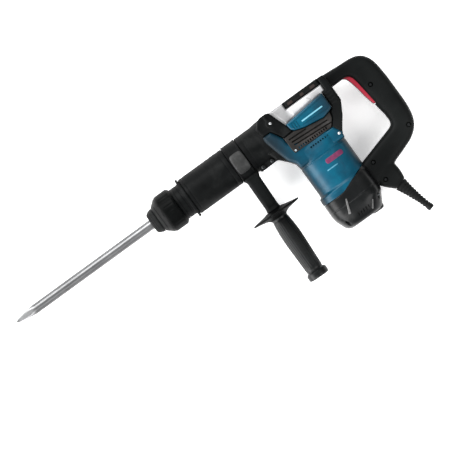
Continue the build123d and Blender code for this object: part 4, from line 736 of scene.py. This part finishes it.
SC = [(578.6, -3.0), (632, -8.4), (661.0, -11.4), (661.2, 19.6), (652.8, 22.4), (640, 25.7), (602.6, 20.0), (585.0, 14.2), (580.6, 9.5)]
for side_name, s in (("left", 1), ("right", -1)):
    # a black sheet under the cover and grille darkens the gaps between them: painted shade
    gap_shade = plate(f"cover_gap_shade_{side_name}", [(562.2, 1.5), (577.6, -1.6), (632, -7.2), (660.6, -10.0), (661.0, 24), (654, 36), (643, 46.8), (562.2, 46.8)], s * 37.6, s * 39.3, "black", bevel=0.6)
    wear(gap_shade, "housing")
    cover = plate(f"side_cover_skin_{side_name}", SC, s * 38.1, s * 49.5, None, bevel=3.6, segs=6, radii=[3, 2, 3, 5, 6, 8, 8, 5, 4], steps=5)
    cover.data.materials.append(MAT["blue"])
    lines = [plate("c", [(586.4, 1.2), (655.6, -5.8), (655.9, -4.8), (586.8, 2.2)], s * 48.7, s * 52, None, bevel=0.3)]
    lines += [plate("c", [(586.2 + 4.6 * k, 3.6 - 0.4 * k), (588.2 + 4.6 * k, 3.4 - 0.4 * k), (588.2 + 4.6 * k, 12.6 + 1.2 * k), (586.2 + 4.6 * k, 12.2 + 1.2 * k)], s * 48.4, s * 52, None, bevel=0.2, corner=0.7) for k in range(3)]
    lines += [plate("c", [(603.4, 14.0), (655.6, 16.4), (655.6, 17.2), (603.4, 14.8)], s * 48.8, s * 52, None, bevel=0.2)]
    cover = cut(cover, lines)
    wear(cover, "housing", f"side_cover_{side_name}", slot="blue_plastic")
    bar = plate(f"cover_inlay_{side_name}", [(604.4, 7.6), (648.6, 7.0), (648.6, 9.6), (604.4, 10.2)], s * 49.0, s * 50.0, "pale", bevel=0.35, corner=1.2)
    wear(bar, "housing")

VG = [(562.0, 15.2), (584.2, 14.8), (602.4, 20.6), (640, 26.4), (653.4, 22.8), (650.4, 34.4), (640.4, 46.8), (631.8, 47.0), (563.4, 47.0), (561.9, 40)]
for side_name, s in (("left", 1), ("right", -1)):
    g = plate(f"vent_skin_{side_name}", VG, s * 38.1, s * 45.6, None, bevel=1.6, segs=4, corner=2.0)
    g.data.materials.append(MAT["brown_grey"])
    slots = []
    for k in range(3):
        v0 = 20.6 + k * 6.3
        u1 = (603, 642, 646)[k]
        u0 = (567, 569, 570)[k]
        rise = (1.6, 4.6, 5.4)[k]
        slots.append(plate("s", [(u0, v0), (u1, v0 + rise), (u1, v0 + rise + 2.6), (u0, v0 + 2.6)], s * 42.2, s * 49, None, bevel=0.4, corner=1.1))
    for k in range(13):
        u0 = 573.5 + k * 4.75
        slots.append(plate("s", [(u0, 40.9), (u0 + 2.6, 40.9), (u0 + 2.6, 45.0), (u0, 45.0)], s * 41.0, s * 49, None, bevel=0.3, corner=0.9))
    g = cut(g, slots)
    wear(g, "housing", f"vent_grille_{side_name}", slot="black_plastic")

# ================================================================== motor housing
MOTOR_U = 602.5


def motor_ring(v, uc, a, b, n, count=144):
    return squircle(P(uc, v), AX_U, AX_W, a, b, n, count)


def parting(u):
    """Where the blue drum ends and the black cap begins."""
    return float(np.interp(u, [550, 580, 592, 600, 610, 618, 625, 636, 648, 656], [151, 151, 150, 147.2, 143.2, 140.4, 138, 134, 130, 128]))


drum = [(50, 602.4, 46.0, 44.0, 3.4), (58, 602.4, 46.5, 45.6, 3.0), (64, 602.4, 47.0, 47.2, 2.7), (70, 602.4, 47.2, 48.4, 2.5), (75.2, 602.4, 47.1, 48.6, 2.4), (76.0, 602.4, 46.4, 47.9, 2.4), (77.6, 602.4, 46.4, 47.9, 2.4),
        (78.4, 602.4, 47.0, 48.4, 2.4), (90, 602.3, 46.9, 48.2, 2.35), (110, 602.2, 46.9, 48.1, 2.35), (128, 602.1, 46.9, 48.2, 2.4), (134.6, 602.0, 47.1, 48.6, 2.5), (136.2, 601.8, 47.6, 49.2, 2.6),
        (138.6, 600.6, 49.6, 50.9, 2.9), (140.4, 600.3, 49.9, 51.1, 3.0), (141.2, 600.3, 49.5, 50.7, 3.0), (142.6, 600.3, 49.5, 50.7, 3.0), (143.4, 600.3, 49.9, 51.1, 3.0), (151.4, 600.3, 49.9, 51.1, 3.0)]


def drum_section(v):
    vs = [d[0] for d in drum]
    return [float(np.interp(v, vs, [d[i] for d in drum])) for i in range(1, 5)]


COUNT = 160
levels = sorted({d[0] for d in drum if 66 < d[0] < 129} | {66 + 2.2 * k for k in range(30) if 66 + 2.2 * k < 128})
rings = [motor_ring(v, *drum_section(v), COUNT) for v in levels]
sweep_rows = 22
for k in range(1, sweep_rows + 1):
    row = []
    for j in range(COUNT):
        probe = motor_ring(140, *drum_section(140), COUNT)[j] if k == 1 and j == 0 else None
        t = 2 * math.pi * j / COUNT
        v_end = 151.0
        for _ in range(4):
            uc, a, b, n = drum_section(v_end)
            c_, s_ = math.cos(t), math.sin(t)
            u_ = uc + a * math.copysign(abs(c_) ** (2 / n), c_)
            v_end = parting(u_)
        v_ = levels[-1] + (v_end - levels[-1]) * k / sweep_rows
        uc, a, b, n = drum_section(v_)
        c_, s_ = math.cos(t), math.sin(t)
        u_ = uc + a * math.copysign(abs(c_) ** (2 / n), c_)
        w_ = b * math.copysign(abs(s_) ** (2 / n), s_)
        row.append((u_, v_, w_))
    if k == sweep_rows:
        lip = row
        inner = [(602 + (u - 602) * 0.985, v - 1.1, w * 0.985) for u, v, w in row]
        rings.append([P(602 + (u - 602) * 0.997, v - 0.35, w * 0.997) for u, v, w in row])
        rings.append([P(*q) for q in [(602 + (u - 602) * 0.99, v, w * 0.99) for u, v, w in row]])
        rings.append([P(602 + (u - 602) * 0.955, v, w * 0.955) for u, v, w in row])
    else:
        rings.append([P(*q) for q in row])
drum_piece = loft("motor_drum", rings, "blue", sharp=30)
wear(drum_piece, "housing", slot="blue_plastic")

neck_out = [(545.4, 51.6), (541.6, 40), (536.0, 20), (531.6, 1), (532.4, -7.8), (549.2, -7.8), (555.3, 2.4), (561.9, 15.2), (561.9, 26), (592, 40), (592, 74), (556.2, 74), (554.4, 63.6)]
neck = plate("neck", neck_out, -43.8, 43.8, None, bevel=6.5, segs=8, radii=[4, 10, 10, 6, 4, 2, 2, 1, 8, 1, 1, 2, 6], steps=5)
block_out = [(559, 30), (561.9, 47.0), (642.6, 47.0), (652.4, 64.8), (650.0, 67.4), (650.0, 74), (556.4, 74), (554.8, 62)]
shoulder = plate("shoulder", block_out, -43.8, 43.8, None, bevel=4.5, segs=6, radii=[1, 1, 1, 2, 2, 2, 2, 3], steps=5)
bulge = loft("bulge", [motor_ring(v, uc, a, b, n, 96) for v, uc, a, b, n in ((47, 602, 47.2, 43.6, 4), (54, 602.4, 47.4, 45.2, 3.6), (62, 602.4, 47.3, 47.0, 2.9), (70, 602.4, 47.2, 48.4, 2.5), (75, 602.4, 46.0, 47.4, 2.5))], None)
neck_cut = lathe("neck_cut", [(500, 0), (500, 38.25), (560.95, 38.25), (560.95, 0)], P(0, 0), AX_U, None, segs=144)
body = fuse("motor_shoulder", [neck, shoulder, bulge], "blue", voxel=0.8, smooth=5)
slots = [neck_cut]
for s in (1, -1):
    for k in range(8):
        u0 = 590 + k * 5.0
        slots.append(plate("s", [(u0, 53.0), (u0 + 3.0, 53.0), (u0 + 3.0, 56.4), (u0, 56.4)], s * 42, s * 52, None, bevel=0.3, corner=0.9))
body = cut(body, slots, sharp=34)
wear(body, "housing", "motor_housing", slot="blue_plastic")

def draped(name, line, half, radius, surface, rise, mat, sign=1, top=51.42):
    """Raised strip that follows a curved wall: a centre line in (u, v), half widths at its ends, corner radius and height."""
    (ua, va), (ub, vb) = line
    length = math.hypot(ub - ua, vb - va)
    du, dv = (ub - ua) / length, (vb - va) / length
    r = min(radius, length / 2)
    stations = sorted({r * (1 - math.cos(math.pi / 2 * k / 8)) for k in range(9)} | {length - r * (1 - math.cos(math.pi / 2 * k / 8)) for k in range(9)}
                      | {r + (length - 2 * r) * k / 14 for k in range(15)})
    across = [-1, -0.97, -0.90, -0.78, -0.5, -0.2, 0.2, 0.5, 0.78, 0.90, 0.97, 1]
    lift = [-0.25, 0.45, 0.85, 1, 1, 1, 1, 1, 1, 0.85, 0.45, -0.25]
    rows_ = []
    for st in stations:
        wide = half[0] + (half[1] - half[0]) * st / length
        d = min(st, length - st)
        rr = min(r, wide)
        if d < r:
            wide = wide - rr + rr * math.sqrt(max(0.0, 1 - ((r - d) / r) ** 2)) + 0.02
        end = min(1.0, d / 0.5 + 0.05) if r > 0.4 else 1.0
        row = []
        for a_, h_ in zip(across, lift):
            u_, v_ = ua + du * st - dv * a_ * wide, va + dv * st + du * a_ * wide
            row.append(P(u_, v_, sign * min(top, surface(u_, v_) + rise * (h_ * end if h_ > 0 else h_))))
        for a_ in (1, 0, -1):
            u_, v_ = ua + du * st - dv * a_ * wide, va + dv * st + du * a_ * wide
            row.append(P(u_, v_, sign * (surface(u_, v_) - 0.9)))
        rows_.append(row)
    return loft(name, rows_, mat, sharp=40)


def wall(section):
    def at(u, v):
        uc, a, b, n = section(v)
        return b * max(0.02, 1 - abs((u - uc) / a) ** n) ** (1 / n)
    return at


red_bar = draped("badge_left", ((597, 90.9), (632, 90.9)), (4.7, 4.7), 3.4, wall(drum_section), 0.45, "badge")
wear(red_bar, "housing")
thin_bar = draped("rating_bar_left", ((590.5, 104.3), (612, 104.3)), (1.1, 1.1), 1.0, wall(drum_section), 0.35, "pale_dim")
wear(thin_bar, "housing")

# ================================================================== motor cap
cap_sections = [(151.2, 600.3, 49.7, 50.9, 3.0), (168.6, 600.3, 49.9, 51.3, 3.0), (169.4, 600.3, 49.3, 50.7, 3.0), (170.6, 600.3, 49.3, 50.7, 3.0), (171.4, 600.3, 49.9, 51.3, 3.0), (178, 600.4, 49.7, 51.2, 3.0),
                (183, 600.2, 49.0, 50.9, 3.0), (187, 599.4, 47.2, 50.2, 2.95), (191, 598.9, 45.2, 49.2, 2.9), (196, 598.4, 43.0, 47.6, 2.85), (201, 598.0, 40.8, 45.4, 2.8), (205, 598.0, 38.6, 42.9, 2.8),
                (208, 598.6, 36.0, 40.2, 2.8), (209.8, 599.0, 33.0, 37.0, 2.8), (210.6, 599.2, 29.0, 33.0, 2.8), (210.8, 599.2, 20.0, 24.0, 2.6)]


def cap_section(v):
    vs = [d[0] for d in cap_sections]
    return [float(np.interp(v, vs, [d[i] for d in cap_sections])) for i in range(1, 5)]


rows = []
top_row = []
for j in range(COUNT):
    t = 2 * math.pi * j / COUNT
    c_, s_ = math.cos(t), math.sin(t)
    v_end = 151.0
    for _ in range(4):
        uc, a, b, n = drum_section(v_end)
        u_ = uc + a * math.copysign(abs(c_) ** (2 / n), c_)
        v_end = parting(u_)
    top_row.append((t, v_end + 0.7))
for k in range(13):
    row = []
    for t, v0 in top_row:
        c_, s_ = math.cos(t), math.sin(t)
        v_ = v0 + (158 - v0) * k / 12
        f = min(1.0, max(0.0, (v_ - 136) / 4.0))
        sec_d, sec_c = drum_section(min(v_, 151.4)), cap_section(max(v_, 151.2))
        uc, a, b, n = [x * (1 - f) + y * f for x, y in zip(sec_d, sec_c)]
        if k == 0:
            a, b = a * 0.955, b * 0.955
        if k == 1:
            v_ = v0
            a, b = a * 0.992, b * 0.992
        row.append(P(uc + a * math.copysign(abs(c_) ** (2 / n), c_), v_, b * math.copysign(abs(s_) ** (2 / n), s_)))
    rows.append(row)
for v_ in (160, 163, 166, 168.4, 169.2, 170.8, 171.6, 174, 177, 180, 183, 186, 189, 192, 195, 198, 201, 203.5, 205.5, 207.2, 208.6, 209.7, 210.4, 210.8):
    rows.append(motor_ring(v_, *cap_section(v_), COUNT))
cap_piece = loft("cap_skin", rows, "black_gloss", sharp=30)
facets = []
for s in (1, -1):
    # slanting flutes on the cap's broad sides, raised and coloured light grey as a painted highlight, and the pockets
    # of its four long screws
    for rk, (line, half_) in enumerate(((((587.6, 161.8), (577.8, 187.6)), (1.35, 2.3)), (((624.8, 189.4), (615.2, 203.0)), (1.1, 1.6)))):
        ridge = draped(f"cap_ridge_{rk}_{s + 1}", line, half_, 1.3, wall(cap_section), 0.8, "ridge", sign=s)
        wear(ridge, "housing")
    for k in range(5):
        u0 = 590 + k * 5.4
        facets.append(plate("f", [(u0, 193.5 - k * 0.3), (u0 + 2.4, 193.5 - k * 0.3), (u0 + 0.4, 203.5), (u0 - 2.0, 203.5)], s * 45.0, s * 60, None, bevel=0.4, corner=1.0))
for a_, b_ in ((35.9, 35.9), (35.9, -35.9), (-35.9, 35.9), (-35.9, -35.9)):
    facets.append(lathe("h", [(188, 0), (188, 4.1), (216, 4.1), (216, 0)], P(MOTOR_U + a_ * 0.98, 0, b_), AX_V, None, segs=40))
for k in range(12):
    t = 2 * math.pi * k / 12
    pts = []
    for q in range(20):
        z = 2 * math.pi * q / 20
        x_, y_ = 8 * math.copysign(min(1, abs(math.cos(z)) ** 0.35), math.cos(z)), 1.6 * math.sin(z)
        pts.append((24 * math.cos(t) + x_ * math.cos(t) - y_ * math.sin(t), 24 * math.sin(t) + x_ * math.sin(t) + y_ * math.cos(t)))
    facets.append(loft("v", [[P(599.5 + a_, v_, b_) for a_, b_ in pts] for v_ in (206.5, 214)], None))
cap_piece = cut(cap_piece, facets, sharp=30)
foot = loft("cap_foot", [squircle(P(623.5, v_), AX_U, AX_W, a_, b_, 3.2, 48) for v_, a_, b_ in ((205, 13.0, 24), (209, 12.6, 23), (211.6, 11.6, 22), (212.8, 9.4, 20), (213.0, 6, 16))], "black_gloss", sharp=30)
wear(foot, "housing")
wear(cap_piece, "housing", "motor_cap", slot="black_plastic")

# ================================================================== rear bumper
RB = [(661.6, -11.8), (668.9, -12.6), (668.9, -36.3), (682, -35.3), (682.3, 0), (681.8, 18), (676.6, 27.3), (668.4, 41.8), (659.6, 53.0), (650.6, 65.8), (646.6, 59.4), (640.6, 46.8), (651.2, 34.6), (654.6, 22.8), (661.6, 20)]
bump_main = plate("bump", RB, -43, 43, None, bevel=4.0, segs=6, radii=[1, 0, 2, 4, 6, 4, 4, 4, 4, 1.5, 2, 1, 1, 1, 1], steps=4)
ribs = [plate("rb", [(664, v), (679 - max(0, v - 12) * 0.75, v), (678.6 - max(0, v - 12) * 0.75, v + 3.0), (664, v + 3.0)], -44.2, 44.2, None, bevel=1.2, corner=1.2) for v in (-6, 1, 8, 15)]
bumper = fuse("bumper_skin", [bump_main, *ribs], "black", voxel=0.75, smooth=3)
wear(bumper, "housing", "rear_bumper", slot="black_plastic")

# ================================================================== rear handle
PAIRS = [((668, -36.2), (668, -12.0), 19.3, 4.6), ((676, -35.6), (676, -9.4), 19.3, 4.4), ((684, -35.0), (684, -8.3), 19.3, 4.2), ((700, -33.8), (700, -8.2), 19.3, 3.8), ((712, -32.9), (710.5, -8.4), 19.2, 4.2),
         ((725, -32.1), (715.4, -6.6), 19.1, 4.2), ((738, -31.0), (719.4, -2.6), 19.0, 4.0), ((749.5, -27.8), (721.2, 4.0), 19.0, 3.8), ((758.4, -21.8), (722.2, 11.0), 18.9, 3.6), ((764.6, -13.4), (722.8, 16.5), 18.8, 3.6),
         ((768.6, -3.0), (723.2, 23), 18.8, 3.5), ((770.4, 9.0), (723.9, 30), 18.8, 3.4), ((771.6, 25), (724.8, 40), 18.8, 3.2), ((772.0, 42), (725.6, 52), 18.8, 2.9), ((772.0, 58), (726.6, 62), 18.8, 2.7),
         ((772.0, 73), (728.2, 73), 18.8, 2.65), ((771.7, 86), (729.6, 82), 18.9, 2.7), ((770.6, 99), (730.0, 89), 19.0, 2.8), ((768.2, 111.5), (730.0, 95), 19.1, 2.9), ((763.8, 123), (729.2, 100), 19.2, 3.0),
         ((757.0, 132.4), (726.6, 104), 19.3, 3.2), ((748.6, 139.6), (722.0, 106.8), 19.4, 3.3), ((738.6, 145.4), (714.8, 109.2), 19.4, 3.4), ((726.6, 149.9), (706.5, 111.6), 19.4, 3.5), ((713.6, 154.4), (697.0, 114.2), 19.4, 3.6),
         ((700.2, 158.8), (686.4, 117.2), 19.4, 3.8), ((688, 164.5), (674.0, 120.8), 19.4, 3.9), ((672, 171.5), (661.0, 124.4), 19.4, 4.0), ((655, 176.2), (649.4, 127.7), 19.4, 4.2), ((649.3, 177.6), (645.5, 128.8), 19.4, 4.2)]


def refine(rows, times=2):
    for _ in range(times):
        out = [rows[0]]
        for i in range(len(rows) - 1):
            p0, p1, p2, p3 = rows[max(0, i - 1)], rows[i], rows[i + 1], rows[min(len(rows) - 1, i + 2)]
            mid = tuple((-a + 9 * b + 9 * c_ - d) / 16 for a, b, c_, d in zip(p0, p1, p2, p3))
            out += [mid, p2]
        rows = out
    return rows


flat = refine([(*o, *i, w, n) for o, i, w, n in PAIRS], 2)
rings = []
for ou, ov, iu, iv, w, n in flat:
    o_, i_ = P(ou, ov), P(iu, iv)
    rings.append(squircle((o_ + i_) / 2, (o_ - i_).normalized(), AX_W, (o_ - i_).length * 500, w, n, 88))
d_ring = loft("d_ring", rings, None)
boss_rows = []
for (lu, lv), (ru, rv), w, n in (((650.5, 150), (692, 150), 19.0, 4.2), ((649.8, 166), (694.0, 166), 19.0, 4.2), ((649.8, 178.4), (694.6, 176.5), 18.8, 4.0), ((654.8, 184.6), (694.2, 184.0), 18.2, 3.6),
                                 ((660.4, 190.9), (693.4, 190.2), 16.6, 3.2), ((665.8, 196.2), (692.8, 192.4), 14.8, 2.8), ((669.8, 199.9), (692.5, 193.4), 13.2, 2.5)):
    a_, b_ = P(lu, lv), P(ru, rv)
    boss_rows.append(squircle((a_ + b_) / 2, (b_ - a_).normalized(), AX_W, (b_ - a_).length * 500, w, n, 88))
boss_piece = loft("boss", boss_rows, None)
handle = fuse("handle_skin", [d_ring, boss_piece], None, voxel=0.85, smooth=5)
trig_slot = plate("ts", [(685.5, -17), (685.5, -6), (700, -3), (714, 20), (719, 59), (744, 59), (744, -17)], -11.9, 11.9, None, bevel=0.6, corner=1.5)
handle.data.materials.append(MAT["black"])
recess = [lathe("scr", soften([(-4.0, 0), (-4.0, 3.95), (0.0, 4.4), (9, 4.4), (9, 0)], 0.3), P(u, v, 16.4), AX_W, None, segs=40) for u, v in ((679.5, -25), (739.5, 27), (752, 122), (664, 139), (664, 176))]
handle = cut(handle, [trig_slot, *recess], sharp=34)


def half(ob, sign, name):
    me = ob.data.copy()
    bm = bmesh.new()
    bm.from_mesh(me)
    geom = bm.verts[:] + bm.edges[:] + bm.faces[:]
    res = bmesh.ops.bisect_plane(bm, geom=geom, plane_co=P(0, 0, sign * 0.09), plane_no=(0, 0, -sign), clear_outer=True, clear_inner=False)
    rim = [e for e in res["geom_cut"] if isinstance(e, bmesh.types.BMEdge)]
    filled = bmesh.ops.holes_fill(bm, edges=rim, sides=0)
    bmesh.ops.triangulate(bm, faces=filled["faces"])
    out = bpy.data.meshes.new(name)
    bm.to_mesh(out)
    bm.free()
    bpy.data.meshes.remove(me)
    return link(out, name, "black", sharp=34)


left = half(handle, 1, "handle_skin_left")
right = half(handle, -1, "handle_skin_right")
drop(handle)
wear(left, "housing", "handle_left_shell", slot="black_plastic")
wear(right, "housing", "handle_right_shell", slot="black_plastic")

# trigger
trig = plate("trigger_skin", [(690.4, -10.6), (700, -10.0), (706.5, -8.8), (711.4, -4.2), (714.6, 5), (717.6, 20), (720.2, 38), (723.2, 52), (725.0, 57.2), (730.6, 57.4), (730.6, 40), (729.6, 20), (726.4, 4), (718, -9), (702, -18.8), (694, -19.8), (689, -16.8)],
             -10.9, 10.9, "red", bevel=3.0, segs=6, radii=[2, 6, 8, 8, 14, 20, 20, 8, 2, 2, 10, 10, 10, 8, 6, 4, 3], steps=5)
wear(trig, "trigger", "trigger", slot="red_plastic")

# ================================================================== bend protection of the cable
lean = 0.3016
s_axis = Vector((lean, -1, 0)).normalized()
sp = [(-13, 4.3), (-13, 11.2), (-9.5, 11.2), (-9.5, 9.4), (0.45, 9.4), (0.5, 12.0), (2.0, 12.2), (4.0, 12.0)]
radius = lambda t: float(np.interp(t, [4, 14.6, 28.2, 42.8, 55.4, 66.5], [12.0, 10.1, 8.4, 6.8, 6.3, 6.1]))
t = 6.5
while t < 58:
    sp += [(t, radius(t)), (t + 0.5, radius(t) - 0.35), (t + 0.8, radius(t) - 1.0), (t + 2.0, radius(t) - 1.05), (t + 2.3, radius(t) - 0.4), (t + 2.8, radius(t + 2.8))]
    t += 5.6
sp += [(61.5, radius(61.5)), (64.5, 6.6), (67.1, 6.6), (68.7, 6.0), (69.45, 5.0), (69.45, 4.2), (66.0, 4.2), (-13, 4.3)]
boot = lathe("bend_boot", soften(sp, 0.25, 2), P(680.6, 197), s_axis, "rubber", segs=72, ref=(0, 0, 1), sharp=45)
wear(boot, "housing", "cable_sleeve", slot="black_rubber")

# ================================================================== screws
def socket_screw(name, at, axis, r, h, mat, body, sock=None, lobes=6):
    """Domed head with a six-lobe recess."""
    sock = sock or r * 0.52
    depth = h * 0.55

    def star(a, t, rr):
        return rr * (1 + 0.10 * math.cos(lobes * t)) if a < -50 else rr

    head = lathe(name, soften([(-0.5, 0), (-0.5, r * 0.96), (h * 0.35, r), (h * 0.75, r * 0.93), (h, r * 0.66), (h, sock * 1.16), (h, 0)], r * 0.08), at, axis, mat, segs=60)
    tool = lathe("tool", [(h - depth, 0), (h - depth, sock * 0.9), (h + 1, sock), (h + 1, 0)], at, axis, None, segs=48, shape=lambda a, t, rr: rr * (1 + 0.14 * math.cos(lobes * t)))
    cut(head, [tool], sharp=30)
    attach(head, body)
    return head


for s in (1, -1):
    socket_screw(f"pad_screw_a_{s + 1}", P(505, 33.8, s * 20), (0, 0, s), 3.7, 3.2, "screw_dark", "housing")
    socket_screw(f"pad_screw_b_{s + 1}", P(524, 33.6, s * 20), (0, 0, s), 3.7, 3.2, "screw_dark", "housing")
    socket_screw(f"flange_screw_{s + 1}", P(558.0, -20.2, s * 43.0), (0, 0, s), 2.3, 1.5, "screw", "housing")
    socket_screw(f"rear_screw_{s + 1}", P(645.0, 63.4, s * 43.4), (0, 0, s), 2.4, 1.6, "screw", "housing")
    socket_screw(f"vent_screw_{s + 1}", P(567.0, 43.4, s * 45.2), (0, 0, s), 1.9, 1.1, "screw_mid", "housing")
for k, (a_, b_) in enumerate(((35.9, 35.9), (35.9, -35.9), (-35.9, 35.9), (-35.9, -35.9))):
    socket_screw(f"cap_screw_{k}", P(MOTOR_U + a_ * 0.98, 188.0, b_), AX_V, 3.6, 2.6, "screw_dark", "housing")
for k, u in enumerate((602, 660)):
    socket_screw(f"top_screw_{k}", P(u, -33.8, 0), -AX_V, 3.2, 2.4, "screw_dark", "housing")
for k, (u, v) in enumerate(((679.5, -25), (739.5, 27), (752, 122), (664, 139), (664, 176))):
    socket_screw(f"grip_screw_{k}", P(u, v, 12.6), AX_W, 3.6, 2.2, "screw_dark", "housing")
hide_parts("housing_screws")
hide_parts("handle_screws")

# ================================================================== springs
def coil(name, u0, u1, v, radius, wire, turns, node):
    """Compression spring along the tool axis from u0 to u1, with a closed turn at each end."""
    steps, sides = 44, 12
    count = (turns + 2) * steps
    closed = 2.08 * wire
    free = (u1 - u0 - 2 * wire - 2 * closed) / turns
    rows, u = [], u0 + wire
    for k in range(count + 1):
        t = k / steps
        a = 2 * math.pi * t
        rows.append(P(u, v, 0) + AX_V * mm(radius * math.cos(a)) + AX_W * mm(radius * math.sin(a)))
        u += (closed if t < 1 or t >= turns + 1 else free) / steps
    bm = bmesh.new()
    rings = []
    for k, p in enumerate(rows):
        a = 2 * math.pi * k / steps
        out = (AX_V * math.cos(a) + AX_W * math.sin(a)).normalized()
        along = (rows[min(k + 1, count)] - rows[max(k - 1, 0)]).normalized()
        out = (out - along * out.dot(along)).normalized()
        side = along.cross(out)
        rings.append([bm.verts.new(p + (out * math.cos(b) + side * math.sin(b)) * mm(wire)) for b in (2 * math.pi * j / sides for j in range(sides))])
    for r0, r1 in zip(rings, rings[1:]):
        for j in range(sides):
            bm.faces.new((r0[j], r0[(j + 1) % sides], r1[(j + 1) % sides], r1[j]))
    bm.faces.new(rings[0])
    bm.faces.new(rings[-1])
    ob = from_bm(bm, name, "spring", sharp=50)
    wear(ob, "housing", node)
    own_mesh(ob)
    return ob


coil("sleeve_coil", 336.6, 351.4, 0, 20.6, 0.8, 3, "sleeve_spring")
coil("trigger_coil", 728.3, 740.0, 9, 3.2, 0.4, 4, "trigger_spring")

# ================================================================== stage, light and camera
floor_mesh = bpy.data.meshes.new("floor")
bm = bmesh.new()
bmesh.ops.create_grid(bm, x_segments=8, y_segments=8, size=6.0)
bm.to_mesh(floor_mesh)
bm.free()
floor = bpy.data.objects.new("floor", floor_mesh)
bpy.context.scene.collection.objects.link(floor)
fm, fnt, fsh = new_mat("floor_paper")
fvec = coords(fnt)
fnt.links.new(ramp(fnt, noise_tex(fnt, fvec, 3.0, 3, 0.5), [(0.3, (0.93, 0.93, 0.93)), (0.7, (0.95, 0.95, 0.95))]), fsh.inputs["Base Color"])
fsh.inputs["Roughness"].default_value = 0.9
fsh.inputs["Specular IOR Level"].default_value = 0.1
fsh.inputs["Emission Color"].default_value = (1, 1, 1, 1)
fsh.inputs["Emission Strength"].default_value = 0.42
bump(fnt, fsh, noise_tex(fnt, fvec, 600, 3, 0.6), 0.05, 0.0002)
floor_mesh.materials.append(fm)

PHOTO_MM = 1.739                    # one pixel of a 450-pixel frame, in millimetres on the tool's mid-plane
TILT = math.radians(36.0)


def from_frame(x, y):
    """Point of the mid-plane that lies at a pixel of the 450-pixel frame."""
    dx, dy = (x - 17.0) * PHOTO_MM, (y - 322.2) * PHOTO_MM
    return P(dx * math.cos(TILT) - dy * math.sin(TILT), dx * math.sin(TILT) + dy * math.cos(TILT))


cam_data = bpy.data.cameras.new("camera")
cam = bpy.data.objects.new("camera", cam_data)
bpy.context.scene.collection.objects.link(cam)
bpy.context.scene.camera = cam
centre = from_frame(225.0, 225.0)
distance = 7.0
cam_data.sensor_width = 36.0
cam_data.lens = 36.0 * distance / (450 * PHOTO_MM / 1000)
cam.location = centre + Vector((0, 0, distance))
cam.rotation_euler = (0, 0, -TILT)
cam_data.clip_end = 50


def area(name, at, look, size, power, colour=(1, 1, 1), size_y=None):
    d = bpy.data.lights.new(name, "AREA")
    d.energy = power
    d.color = colour
    d.size = size
    if size_y:
        d.shape = "RECTANGLE"
        d.size_y = size_y
    o = bpy.data.objects.new(name, d)
    bpy.context.scene.collection.objects.link(o)
    o.location = at
    o.rotation_euler = (Vector(look) - Vector(at)).to_track_quat("-Z", "Y").to_euler()
    return o


c = centre
area("strip", (c.x - 1.85, c.y - 0.05, 0.72), (c.x + 0.2, c.y - 0.06, 0.06), 3.2, 122, size_y=1.3)
area("key", (c.x - 0.35, c.y + 1.6, 1.55), (c.x, c.y, 0), 1.6, 62, size_y=1.3)
area("fill", (c.x + 1.3, c.y - 1.3, 2.0), (c.x, c.y, 0), 1.5, 42)
area("back", (c.x - 1.2, c.y - 1.4, 2.0), (c.x, c.y, 0), 1.4, 34)
world = bpy.data.worlds.new("world")
bpy.context.scene.world = world
world.use_nodes = True
bg = world.node_tree.nodes["Background"]
bg.inputs["Color"].default_value = (1, 1, 1, 1)
bg.inputs["Strength"].default_value = 0.30
bpy.context.scene.view_settings.view_transform = "Standard"
